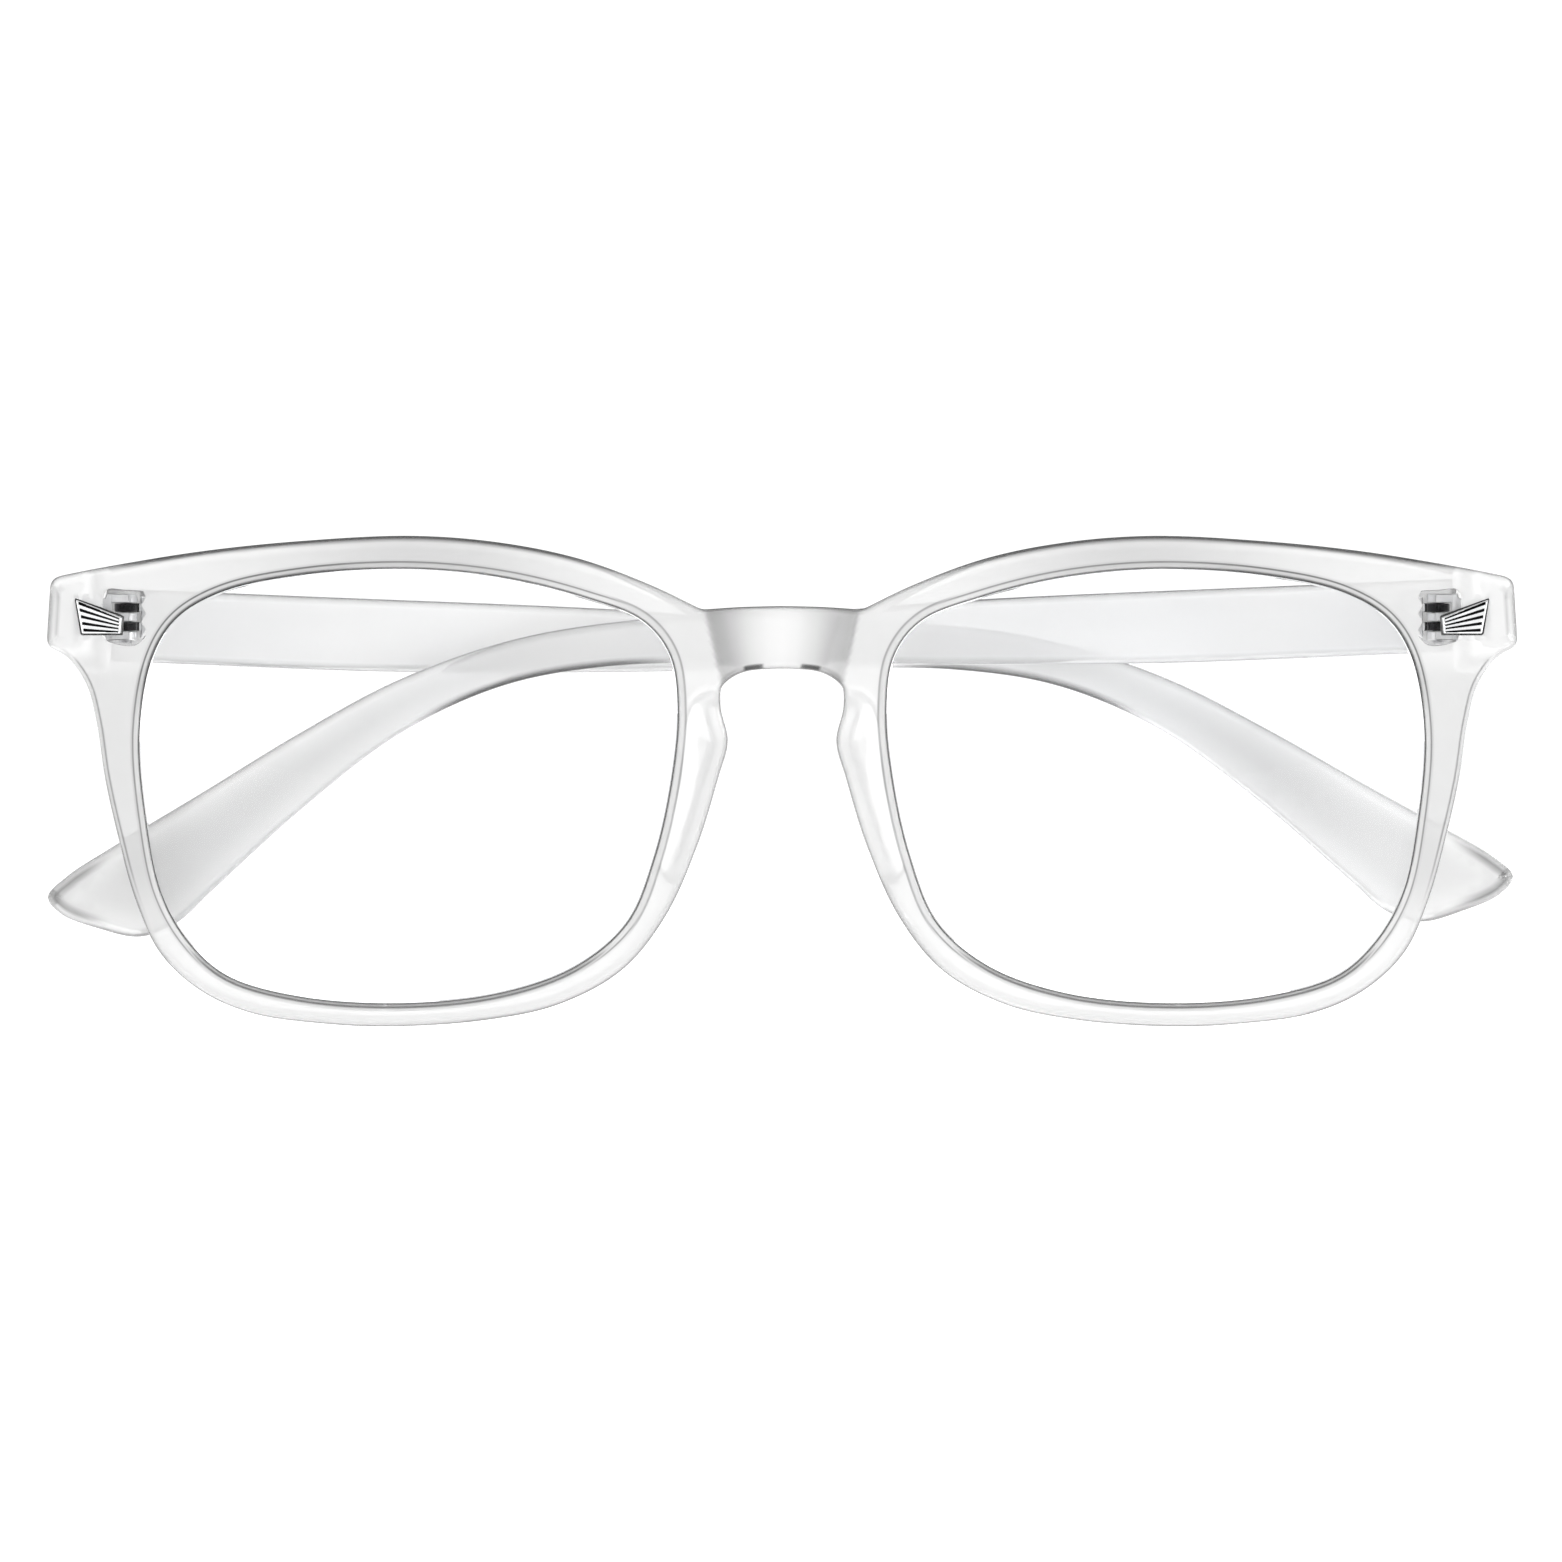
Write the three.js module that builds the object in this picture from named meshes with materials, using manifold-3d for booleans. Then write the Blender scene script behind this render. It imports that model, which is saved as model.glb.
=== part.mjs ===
// Blue light glasses with a clear moulded frame, folded, in millimetres.
// +Z is up, the front looks along -Y, and +X is the wearer's left side.
// The origin is below the middle of the folded glasses, level with the bottom of the rims.
import * as THREE from 'three';
import { mergeVertices } from 'three/addons/utils/BufferGeometryUtils.js';
import Module from 'manifold-3d';

const wasm = await Module();
wasm.setup();

const degrees = Math.PI / 180;
const LEFT = 1;
const RIGHT = -1;

// Front frame
const FRONT_Y = -11.3;            // foremost line of the front, at the middle of the bridge
const FRONT_THICKNESS = 4.2;
const FACE_RADIUS = 420;          // wrap of the front, seen from above
const HALF_WIDTH = 70.8;
const RIM_TOP = 47.2;
const FACE_STRIPS = 20;
const RIM_STEPS = 46;
const APERTURE_STEPS = 52;
const OVERCUT = 3;                // how far a cutting solid runs past the face that it opens

// Bridge scoop and nose pads
const SCOOP_DEPTH = 1.1;
const SCOOP_TOP_HALF = 7.5;
const SCOOP_BOTTOM_HALF = 6.1;
const BRIDGE_TOP = 40.45;
const ARCH_TOP = 34.45;
const PAD_REACH = 3.0;            // how far a pad stands behind the front
const PAD_FLARE = 0.45;           // sideways step of a pad for each millimetre backwards
const PAD_ROOT = 2.5;             // how deep a pad runs into the front

// Lenses
const LENS_THICKNESS = 1.8;
const LENS_DOME = 1.2;
const LENS_GAP = 0.15;            // between the lens wall and the aperture
const BEVEL_REACH = 0.45;         // how far the lens edge reaches into its groove
const GROOVE_REACH = 0.8;
const BEVEL_HALF = 0.55;          // half of the edge bevel's height at the lens wall
const TIP_HALF = 0.12;            // half of the flat on the edge bevel's tip
const LENS_MIDDLE = 2.1;          // depth of the lens edge behind the front face

// Hinges
const HINGE_X = 63.0;
const HINGE_Y = FRONT_Y + 13.4;
const HINGE_Z = 39.4;
const HINGE_HEIGHT = 4.5;
const KNUCKLES = 5;
const KNUCKLE_GAP = 0.06;
const KNUCKLE_RADIUS = 1.1;
const BORE_RADIUS = 0.68;
const PIN_RADIUS = 0.6;
const SCREW_HEAD_RADIUS = 0.85;
const SCREW_HEAD_HEIGHT = 0.4;
const COUNTERBORE_RADIUS = 0.91;
const COUNTERBORE_DEPTH = 0.45;
const SCREW_TIP = 0.3;            // how far the screw stands below the lowest knuckle
const LEAF_THICKNESS = 1.0;
const ANCHOR_GAP = 0.3;

// Endpieces, the thick corners that carry the hinges
const ENDPIECE_INNER_X = 64.9;
const ENDPIECE_BOTTOM = 34.6;
const ENDPIECE_BACK_Y = FRONT_Y + 11.4;
const LEAF_FRONT_Y = FRONT_Y + 8.4;
const ANCHOR_START_X = 64.4;
const LEAF_OVERLAP = 0.3;         // how far a finger runs into the plate that it stands on
const ANCHOR_END_X = 68.1;

// Temples
const TEMPLE_INNER = 1.6;         // from the hinge axis to the inner face
const TEMPLE_ROOT_OUTER = 7.2;    // from the hinge axis to the outer face at the hinge
const TEMPLE_OUTER = 4.9;         // the same along the arm
const TEMPLE_TIP_OUTER = 4.5;
const ROOT_END = 1.8;             // from the hinge axis to the butt face
const ARM_STRAIGHT_START = 26;
const ARM_STRAIGHT_END = 92;
const TEMPLE_STEPS = 60;
const FOLD_SKEW = 2 * degrees;    // the folded left temple leans forward and the right one back
const OPEN_SPLAY = 2 * degrees;   // how far the open temples stand outwards
const ROOT_RISE = 0.45;           // the left temple sits this much above its leaf, the right one below
const TAIL_BEND = 0.6;            // 100 mm out, the left arm has come down by this and the right one up
const TEMPLE_ANCHOR_INNER = 2.6;  // from the hinge axis to the anchor in the temple
const TEMPLE_ANCHOR_END = 3.9;
const TEMPLE_ANCHOR_HALF = 1.95;
const TEMPLE_ANCHOR_CORNER = 1.2; // radius of its two outer corners

// Corner trims
const TRIM_X = 65.9;
const TRIM_Z = 39.2;
const TRIM_THICKNESS = 0.9;
const TRIM_PROUD = 0.35;
const TRIM_GAP = 0.3;
const TRIM_BORDER = 0.3;
const TRIM_GROOVE_DEPTH = 0.35;
const TRIM_PIN_RADIUS = 0.45;
const TRIM_PIN_LENGTH = 1.2;

const materials = {
  frame: { color: 0xeef0f2, roughness: 0.06, metalness: 0, transparent: true, opacity: 0.55 },
  lens: { color: 0xf3f7fa, roughness: 0.03, metalness: 0, transparent: true, opacity: 0.25 },
  trim: { color: 0xd9dadb, roughness: 0.25, metalness: 1 },
  hinge: { color: 0x8d8f92, roughness: 0.35, metalness: 1 },
};

// ---------- building blocks ----------

function toSolid(geometry) {
  const plain = geometry.clone();
  plain.deleteAttribute('normal');
  plain.deleteAttribute('uv');
  const merged = mergeVertices(plain, 1e-4);
  return new wasm.Manifold(new wasm.Mesh({
    numProp: 3,
    vertProperties: new Float32Array(merged.attributes.position.array),
    triVerts: new Uint32Array(merged.index.array),
  }));
}

function toGeometry(solid) {
  const mesh = solid.getMesh();
  const geometry = new THREE.BufferGeometry();
  geometry.setAttribute('position', new THREE.BufferAttribute(mesh.vertProperties, 3));
  geometry.setIndex(new THREE.BufferAttribute(mesh.triVerts, 1));
  geometry.computeVertexNormals();
  return geometry;
}

function piece(name, solid, look) {
  const mesh = new THREE.Mesh(toGeometry(solid), new THREE.MeshStandardMaterial(materials[look]));
  mesh.name = name;
  return mesh;
}

function sideName(side) {
  return side === LEFT ? 'left' : 'right';
}

function smooth(knots, steps, closed = false) {
  const path = knots.map(([x, z]) => new THREE.Vector3(x, 0, z));
  const curve = new THREE.CatmullRomCurve3(path, closed, 'centripetal');
  const points = curve.getPoints(steps).map((p) => new THREE.Vector2(p.x, p.z));
  if (closed) points.pop();
  return points;
}

function corners(pairs) {
  return pairs.map(([x, z]) => new THREE.Vector2(x, z));
}

function mirrored(points, side) {
  return points.map((p) => new THREE.Vector2(side * p.x, p.y));
}

// An outline in X and Z, solid from fromY to toY.
function prismAlongY(outline, fromY, toY) {
  const geometry = new THREE.ExtrudeGeometry(new THREE.Shape(outline), {
    depth: toY - fromY,
    bevelEnabled: false,
  });
  geometry.rotateX(90 * degrees);
  geometry.translate(0, toY, 0);
  return toSolid(geometry);
}

// An outline in X and Y, solid from fromZ to toZ.
function prismAlongZ(outline, fromZ, toZ) {
  const geometry = new THREE.ExtrudeGeometry(new THREE.Shape(outline), {
    depth: toZ - fromZ,
    bevelEnabled: false,
  });
  geometry.translate(0, 0, fromZ);
  return toSolid(geometry);
}

function box(fromX, toX, fromY, toY, fromZ, toZ) {
  const geometry = new THREE.BoxGeometry(Math.abs(toX - fromX), toY - fromY, toZ - fromZ);
  geometry.translate((fromX + toX) / 2, (fromY + toY) / 2, (fromZ + toZ) / 2);
  return toSolid(geometry);
}

function uprightCylinder(radius, fromZ, toZ, sides = 24) {
  const geometry = new THREE.CylinderGeometry(radius, radius, toZ - fromZ, sides);
  geometry.rotateX(90 * degrees);
  geometry.translate(0, 0, (fromZ + toZ) / 2);
  return toSolid(geometry);
}

// A closed skin through rings of points. It ends in a point at both ends, or joins up as a loop.
function skin(rings, endPoints = null) {
  const count = rings[0].length;
  const positions = rings.flat().flatMap((p) => [p.x, p.y, p.z]);
  const faces = [];
  const lastRing = endPoints ? rings.length - 1 : rings.length;
  for (let i = 0; i < lastRing; i += 1) {
    const here = i * count;
    const next = ((i + 1) % rings.length) * count;
    for (let j = 0; j < count; j += 1) {
      const k = (j + 1) % count;
      faces.push(here + j, next + j, next + k, here + j, next + k, here + k);
    }
  }
  if (endPoints) {
    const first = positions.length / 3;
    endPoints.forEach((p) => positions.push(p.x, p.y, p.z));
    for (let j = 0; j < count; j += 1) {
      const k = (j + 1) % count;
      const end = (rings.length - 1) * count;
      faces.push(first, j, k, first + 1, end + k, end + j);
    }
  }
  orientOutwards(positions, faces);
  const geometry = new THREE.BufferGeometry();
  geometry.setAttribute('position', new THREE.Float32BufferAttribute(positions, 3));
  geometry.setIndex(faces);
  return toSolid(geometry);
}

function orientOutwards(positions, faces) {
  const point = (index) => new THREE.Vector3().fromArray(positions, 3 * index);
  let volume = 0;
  for (let i = 0; i < faces.length; i += 3) {
    const [a, b, c] = [point(faces[i]), point(faces[i + 1]), point(faces[i + 2])];
    volume += a.dot(b.cross(c));
  }
  if (volume < 0) faces.reverse();
}

// How far the wrapped front lies behind its middle.
function wrap(x) {
  return (x * x) / (2 * FACE_RADIUS);
}

function onFront(x, depth, z) {
  return new THREE.Vector3(x, FRONT_Y + depth + wrap(x), z);
}

// ---------- outlines of the front, for the left half ----------

function halfFrontOutline() {
  const bridge = smooth([[0, BRIDGE_TOP], [4, 40.35], [7.7, 40.1]], 4);
  const browLine = smooth([
    [7.7, 40.1], [12.7, 42.5], [19.5, 45.0], [27.1, 46.55], [35.5, RIM_TOP], [46.3, 46.7],
    [56.0, 45.7], [65.5, 44.15], [69.3, 43.4],
  ], 20);
  const endpieceSide = corners([[70.0, 43.2], [70.45, 42.65], [HALF_WIDTH, 37.0], [70.55, 36.5]]);
  const rim = smooth([
    [70.55, 36.5], [68.9, 35.6], [67.0, 33.0], [66.0, 29.3], [65.2, 24.0], [64.0, 18.6],
    [62.2, 12.1], [59.9, 7.1], [56.0, 3.45], [51.0, 1.25], [44.0, 0.25], [37.5, 0],
    [28.5, 0.6], [21.5, 2.1], [15.4, 5.4], [11.2, 10.6], [8.1, 17.5], [6.1, 24.0],
    [5.2, 27.4], [5.9, 30.6], [5.9, 32.6],
  ], RIM_STEPS);
  const arch = smooth([[5.9, 32.6], [5.05, 33.4], [3.6, 34.1], [0, ARCH_TOP]], 6);
  return [
    ...bridge, ...browLine.slice(1), ...endpieceSide, ...rim.slice(1), ...arch.slice(1),
  ].map((p) => new THREE.Vector2(p.x, Math.max(p.y, 0)));
}

function frontOutline() {
  const half = halfFrontOutline();
  const otherHalf = mirrored(half, RIGHT).reverse();
  return [...half, ...otherHalf.slice(1, -1)];
}

const apertureCurve = smooth([
  [36.0, 44.0], [46.3, 43.4], [54.0, 41.75], [58.25, 39.25], [60.5, 35.7], [61.8, 28.5],
  [61.2, 20.0], [59.7, 12.75], [57.0, 8.05], [53.4, 4.9], [46.5, 2.9], [36.7, 2.25],
  [27.1, 3.25], [19.8, 5.85], [14.9, 10.05], [12.3, 16.35], [10.65, 23.8], [10.05, 30.4],
  [10.8, 35.7], [13.4, 39.0], [19.05, 41.25], [27.1, 43.2],
], APERTURE_STEPS, true);
const apertureMiddle = new THREE.Vector2(35.9, 23.2);

// The aperture's outline moved outwards by a distance, or inwards by a negative one.
function apertureOffset(distance) {
  const count = apertureCurve.length;
  return apertureCurve.map((p, i) => {
    const before = apertureCurve[(i + count - 1) % count];
    const after = apertureCurve[(i + 1) % count];
    const along = after.clone().sub(before).normalize();
    const outwards = new THREE.Vector2(-along.y, along.x);
    if (outwards.dot(p.clone().sub(apertureMiddle)) < 0) outwards.negate();
    return p.clone().addScaledVector(outwards, distance);
  });
}

// ---------- front frame ----------

function wrappedSlab() {
  const frontEdge = [];
  const backEdge = [];
  for (let i = 0; i <= FACE_STRIPS; i += 1) {
    const x = HALF_WIDTH * 1.02 * ((2 * i) / FACE_STRIPS - 1);
    frontEdge.push(new THREE.Vector2(x, FRONT_Y + wrap(x)));
    backEdge.unshift(new THREE.Vector2(x, FRONT_Y + FRONT_THICKNESS + wrap(x)));
  }
  return prismAlongZ([...frontEdge, ...backEdge], -OVERCUT, RIM_TOP + OVERCUT);
}

function endpieceBlock(side) {
  const startY = FRONT_Y + wrap(ENDPIECE_INNER_X) + 2;
  const outline = corners([
    [ENDPIECE_INNER_X, startY], [HALF_WIDTH + OVERCUT, startY],
    [HALF_WIDTH + OVERCUT, ENDPIECE_BACK_Y], [ENDPIECE_INNER_X, ENDPIECE_BACK_Y],
  ]);
  return prismAlongZ(mirrored(outline, side), ENDPIECE_BOTTOM, RIM_TOP);
}

// A pad on the nose side of the rim, flaring outwards as it goes back.
function nosePad(side) {
  const outline = smooth([
    [5.35, 27.4], [5.95, 30.4], [6.6, 31.6], [7.9, 31.4], [8.9, 28.6], [9.3, 24.0],
    [10.6, 18.8], [11.3, 16.4], [10.7, 15.0], [9.3, 15.6], [8.2, 17.8], [6.3, 24.0],
  ], 30, true);
  const middle = new THREE.Vector2(8.0, 24.0);
  const place = (flat, reach) => {
    const x = flat.x + Math.max(reach, 0) * PAD_FLARE;
    return onFront(side * x, FRONT_THICKNESS + reach, flat.y);
  };
  const stages = [
    { reach: -PAD_ROOT, size: 1 }, { reach: 0, size: 1 }, { reach: 0.55 * PAD_REACH, size: 1 },
    { reach: 0.85 * PAD_REACH, size: 0.88 }, { reach: PAD_REACH, size: 0.66 },
  ];
  const rings = stages.map(({ reach, size }) => outline.map((p) => {
    const flat = p.clone().sub(middle).multiplyScalar(size).add(middle);
    return place(flat, reach);
  }));
  return skin(rings, [place(middle, -PAD_ROOT), place(middle, PAD_REACH)]);
}

// The concave scoop across the front of the bridge, narrower at the bottom.
function bridgeScoop() {
  const scoopRing = (half, z) => {
    const ring = [];
    const steps = 14;
    for (let i = 0; i <= steps; i += 1) {
      const x = half * ((2 * i) / steps - 1);
      const depth = SCOOP_DEPTH * (1 - (x / half) ** 2);
      ring.push(new THREE.Vector3(x, FRONT_Y + depth, z));
    }
    ring.push(new THREE.Vector3(half, FRONT_Y - OVERCUT, z));
    ring.push(new THREE.Vector3(-half, FRONT_Y - OVERCUT, z));
    return ring;
  };
  const taper = (SCOOP_TOP_HALF - SCOOP_BOTTOM_HALF) / (BRIDGE_TOP - ARCH_TOP);
  const bottomZ = ARCH_TOP - 2 * OVERCUT;
  const topZ = BRIDGE_TOP + 2 * OVERCUT;
  const bottomHalf = SCOOP_BOTTOM_HALF - 2 * OVERCUT * taper;
  const topHalf = SCOOP_TOP_HALF + 2 * OVERCUT * taper;
  return skin([scoopRing(bottomHalf, bottomZ), scoopRing(topHalf, topZ)], [
    new THREE.Vector3(0, FRONT_Y - 1, bottomZ),
    new THREE.Vector3(0, FRONT_Y - 1, topZ),
  ]);
}

function lensGroove(side) {
  const inner = apertureOffset(-1);
  const outer = apertureOffset(GROOVE_REACH);
  const slope = (BEVEL_HALF - TIP_HALF) / (BEVEL_REACH + LENS_GAP);
  const tipHalf = TIP_HALF + LENS_GAP;
  const innerHalf = tipHalf + slope * (GROOVE_REACH + 1);
  const rings = inner.map((p, i) => {
    const q = outer[i];
    return [
      onFront(side * p.x, LENS_MIDDLE - innerHalf, p.y),
      onFront(side * q.x, LENS_MIDDLE - tipHalf, q.y),
      onFront(side * q.x, LENS_MIDDLE + tipHalf, q.y),
      onFront(side * p.x, LENS_MIDDLE + innerHalf, p.y),
    ];
  });
  return skin(rings);
}

// The serrated plate that is moulded in, from the hinge side to its end, and its gap if any.
function anchorOutline(fromX, toX, gap) {
  const half = HINGE_HEIGHT / 2;
  const teeth = gap > 0 ? 0 : 3;
  const toothDepth = 0.45;
  const upper = [[fromX, half + gap]];
  const pitch = (toX - fromX) / (teeth + 0.5);
  for (let i = 0; i < teeth; i += 1) {
    const x = fromX + pitch * (i + 0.5);
    upper.push([x, half], [x + pitch * 0.15, half - toothDepth]);
    upper.push([x + pitch * 0.45, half - toothDepth], [x + pitch * 0.6, half]);
  }
  upper.push([toX + gap, half + gap]);
  const lower = upper.map(([x, z]) => [x, -z]).reverse();
  return corners([...upper, ...lower]);
}

function hingePocket(side) {
  const outline = smooth([
    [61.2, 37.6], [60.7, 39.2], [59.5, 40.2], [59.8, 41.4], [60.9, 41.8], [63.2, 42.0],
    [65.0, 42.0], [65.4, 40.0], [65.3, 37.4], [63.8, 36.7], [62.1, 36.7],
  ], 26, true);
  return prismAlongY(mirrored(outline, side), LEAF_FRONT_Y - ANCHOR_GAP, ENDPIECE_BACK_Y + OVERCUT);
}

function anchorCavity(side) {
  const outline = anchorOutline(ENDPIECE_INNER_X - 1, ANCHOR_END_X, ANCHOR_GAP);
  const placed = mirrored(outline, side).map((p) => new THREE.Vector2(p.x, p.y + HINGE_Z));
  const backY = LEAF_FRONT_Y + LEAF_THICKNESS + ANCHOR_GAP;
  return prismAlongY(placed, LEAF_FRONT_Y - ANCHOR_GAP, backY);
}

// ---------- corner trims ----------

// The trim's own frame: X outwards along the endpiece, Y into the front, origin on its face.
function trimPlacement(side) {
  const place = new THREE.Object3D();
  place.position.copy(onFront(side * TRIM_X, 0, TRIM_Z));
  place.rotation.z = side * Math.atan(TRIM_X / FACE_RADIUS);
  place.updateMatrix();
  return place.matrix;
}

function fanOutline(margin) {
  return corners([
    [-2.3 - margin, -1.4 - margin], [1.45 + margin, -1.4 - margin],
    [2.05 + margin, 1.85 + margin], [-2.45 - margin, 0.15 + margin],
  ]);
}

function placed(solid, matrix) {
  return toSolid(toGeometry(solid).applyMatrix4(matrix));
}

function trimRecess(side) {
  const depth = TRIM_THICKNESS - TRIM_PROUD + TRIM_GAP;
  let recess = prismAlongY(mirrored(fanOutline(0.15), side), -OVERCUT, depth);
  trimPinCentres.forEach(([x, z]) => {
    recess = recess.add(trimPin(side * x, z, TRIM_PIN_RADIUS + TRIM_GAP, depth + TRIM_PIN_LENGTH));
  });
  return placed(recess, trimPlacement(side));
}

const trimPinCentres = [[-1.1, -0.6], [1.0, -0.2]];

function trimPin(x, z, radius, toY) {
  const geometry = new THREE.CylinderGeometry(radius, radius, toY, 16);
  geometry.translate(x, toY / 2, z);
  return toSolid(geometry);
}

function cornerTrim(side) {
  const backY = TRIM_THICKNESS - TRIM_PROUD;
  let plate = prismAlongY(mirrored(fanOutline(0), side), -TRIM_PROUD, backY);
  trimPinCentres.forEach(([x, z]) => {
    plate = plate.add(trimPin(side * x, z, TRIM_PIN_RADIUS, backY + TRIM_PIN_LENGTH));
  });
  const grooves = 5;
  for (let i = 0; i < grooves; i += 1) {
    const share = (i + 0.5) / grooves;
    const wide = 0.135;
    const narrow = 0.06;
    const outerX = 1.45 + 0.6 * share - TRIM_BORDER;
    const outerZ = -1.4 + 3.25 * share;
    const innerX = -2.3 - 0.15 * share + TRIM_BORDER;
    const innerZ = -1.4 + 1.55 * share;
    const groove = corners([
      [innerX, innerZ - narrow], [outerX, outerZ - wide],
      [outerX, outerZ + wide], [innerX, innerZ + narrow],
    ]);
    const floor = TRIM_GROOVE_DEPTH - TRIM_PROUD;
    plate = plate.subtract(prismAlongY(mirrored(groove, side), -TRIM_PROUD - OVERCUT, floor));
  }
  const mesh = piece(`${sideName(side)}_corner_trim`, plate, 'trim');
  mesh.applyMatrix4(trimPlacement(side));
  return mesh;
}

function frontFrame() {
  let front = prismAlongY(frontOutline(), FRONT_Y - OVERCUT, FRONT_Y + 20);
  let body = wrappedSlab();
  [LEFT, RIGHT].forEach((side) => {
    body = body.add(endpieceBlock(side));
  });
  front = front.intersect(body);
  [LEFT, RIGHT].forEach((side) => {
    front = front.add(nosePad(side));
    const aperture = mirrored(apertureCurve, side);
    front = front.subtract(prismAlongY(aperture, FRONT_Y - OVERCUT, FRONT_Y + 20));
    front = front.subtract(lensGroove(side));
    front = front.subtract(hingePocket(side));
    front = front.subtract(anchorCavity(side));
    front = front.subtract(trimRecess(side));
  });
  front = front.subtract(bridgeScoop());
  return piece('front_frame', front, 'frame');
}

// ---------- lenses ----------

function lens(side) {
  const wall = apertureOffset(-LENS_GAP);
  const tip = apertureOffset(BEVEL_REACH);
  const half = LENS_THICKNESS / 2;
  const shares = [0.3, 0.6, 0.85, 1];
  const faceRing = (share, offset) => wall.map((p) => {
    const flat = apertureMiddle.clone().lerp(p, share);
    return onFront(side * flat.x, LENS_MIDDLE + offset - LENS_DOME * (1 - share * share), flat.y);
  });
  const edgeRing = (outline, offset) => outline.map(
    (p) => onFront(side * p.x, LENS_MIDDLE + offset, p.y),
  );
  const rings = [
    ...shares.map((share) => faceRing(share, -half)),
    edgeRing(wall, -BEVEL_HALF),
    edgeRing(tip, -TIP_HALF),
    edgeRing(tip, TIP_HALF),
    edgeRing(wall, BEVEL_HALF),
    ...shares.slice().reverse().map((share) => faceRing(share, half)),
  ];
  const pole = (offset) => onFront(
    side * apertureMiddle.x, LENS_MIDDLE + offset - LENS_DOME, apertureMiddle.y,
  );
  return piece(`${sideName(side)}_lens`, skin(rings, [pole(-half), pole(half)]), 'lens');
}

// ---------- hinges ----------

// Bottom and top of each knuckle, from the lowest to the highest, around the hinge's middle.
function knuckleSpan(index) {
  const pitch = HINGE_HEIGHT / KNUCKLES;
  const bottom = -HINGE_HEIGHT / 2 + pitch * index;
  return [bottom + KNUCKLE_GAP / 2, bottom + pitch - KNUCKLE_GAP / 2];
}

function knuckle(index) {
  const [bottom, top] = knuckleSpan(index);
  return uprightCylinder(KNUCKLE_RADIUS, bottom, top);
}

function hingeBore() {
  return uprightCylinder(BORE_RADIUS, -HINGE_HEIGHT, HINGE_HEIGHT);
}

// Front leaf: three knuckles on fingers that stand on a serrated anchor in the endpiece.
function frontLeaf(side) {
  const half = HINGE_HEIGHT / 2;
  const plateFront = LEAF_FRONT_Y - HINGE_Y;
  const plateBack = plateFront + LEAF_THICKNESS;
  const fingerInner = -0.2;
  const fingerOuter = 1.0;
  const anchorStart = ANCHOR_START_X - HINGE_X;
  const foot = side * (anchorStart + LEAF_OVERLAP);
  const anchor = anchorOutline(anchorStart, ANCHOR_END_X - HINGE_X, 0);
  let leaf = prismAlongY(mirrored(anchor, side), plateFront, plateBack);
  [0, 2, 4].forEach((index) => {
    const [bottom, top] = knuckleSpan(index);
    leaf = leaf.add(box(side * fingerInner, foot, plateFront, plateBack, bottom, top));
    leaf = leaf.add(box(side * fingerInner, side * fingerOuter, plateFront, 0, bottom, top));
    leaf = leaf.add(knuckle(index));
  });
  leaf = leaf.subtract(hingeBore());
  leaf = leaf.subtract(uprightCylinder(COUNTERBORE_RADIUS, half - COUNTERBORE_DEPTH, half + 1));
  const mesh = piece(`${sideName(side)}_front_hinge_leaf`, leaf, 'hinge');
  mesh.position.set(side * HINGE_X, HINGE_Y, HINGE_Z);
  return mesh;
}

// The temple leaf's moulded-in tab, grown by a gap for the hollow that holds it.
function tabOutline(fromX, gap) {
  const half = TEMPLE_ANCHOR_HALF + gap;
  const centreX = TEMPLE_ANCHOR_END - TEMPLE_ANCHOR_CORNER;
  const centreZ = TEMPLE_ANCHOR_HALF - TEMPLE_ANCHOR_CORNER;
  const radius = TEMPLE_ANCHOR_CORNER + gap;
  const steps = 5;
  const upper = [[fromX, half]];
  for (let i = 0; i <= steps; i += 1) {
    const angle = (90 - (90 * i) / steps) * degrees;
    upper.push([centreX + radius * Math.cos(angle), centreZ + radius * Math.sin(angle)]);
  }
  const lower = upper.map(([x, z]) => [x, -z]).reverse();
  return corners([...upper, ...lower]);
}

// Temple leaf: two knuckles, a neck, and a rounded tab inside the temple's root.
function templeLeaf(side) {
  const neckFrom = 1.5;
  const neckTo = 2.7;
  const half = TEMPLE_ANCHOR_HALF;
  const tabBack = TEMPLE_ANCHOR_INNER + LEAF_THICKNESS;
  let leaf = prismAlongY(mirrored(tabOutline(neckFrom, 0), -side), TEMPLE_ANCHOR_INNER, tabBack);
  leaf = leaf.add(box(-side * neckFrom, -side * neckTo, 0.2, tabBack, -half, half));
  [1, 3].forEach((index) => {
    const [bottom, top] = knuckleSpan(index);
    leaf = leaf.add(box(0, -side * neckTo, 0.2, 1.0, bottom, top));
    leaf = leaf.add(knuckle(index));
  });
  return piece(`${sideName(side)}_temple_hinge_leaf`, leaf.subtract(hingeBore()), 'hinge');
}

function hingeScrew(side) {
  const top = HINGE_HEIGHT / 2;
  const underHead = top - SCREW_HEAD_HEIGHT;
  let screw = uprightCylinder(PIN_RADIUS, -top - SCREW_TIP, underHead + 0.1);
  screw = screw.add(uprightCylinder(SCREW_HEAD_RADIUS, underHead, top));
  const slotHalf = 0.12;
  const slotFloor = top - SCREW_HEAD_HEIGHT / 2;
  screw = screw.subtract(box(-2, 2, -slotHalf, slotHalf, slotFloor, top + 2));
  const mesh = piece(`${sideName(side)}_hinge_screw`, screw, 'hinge');
  mesh.position.set(side * HINGE_X, HINGE_Y, HINGE_Z);
  return mesh;
}

// ---------- temples ----------

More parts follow.
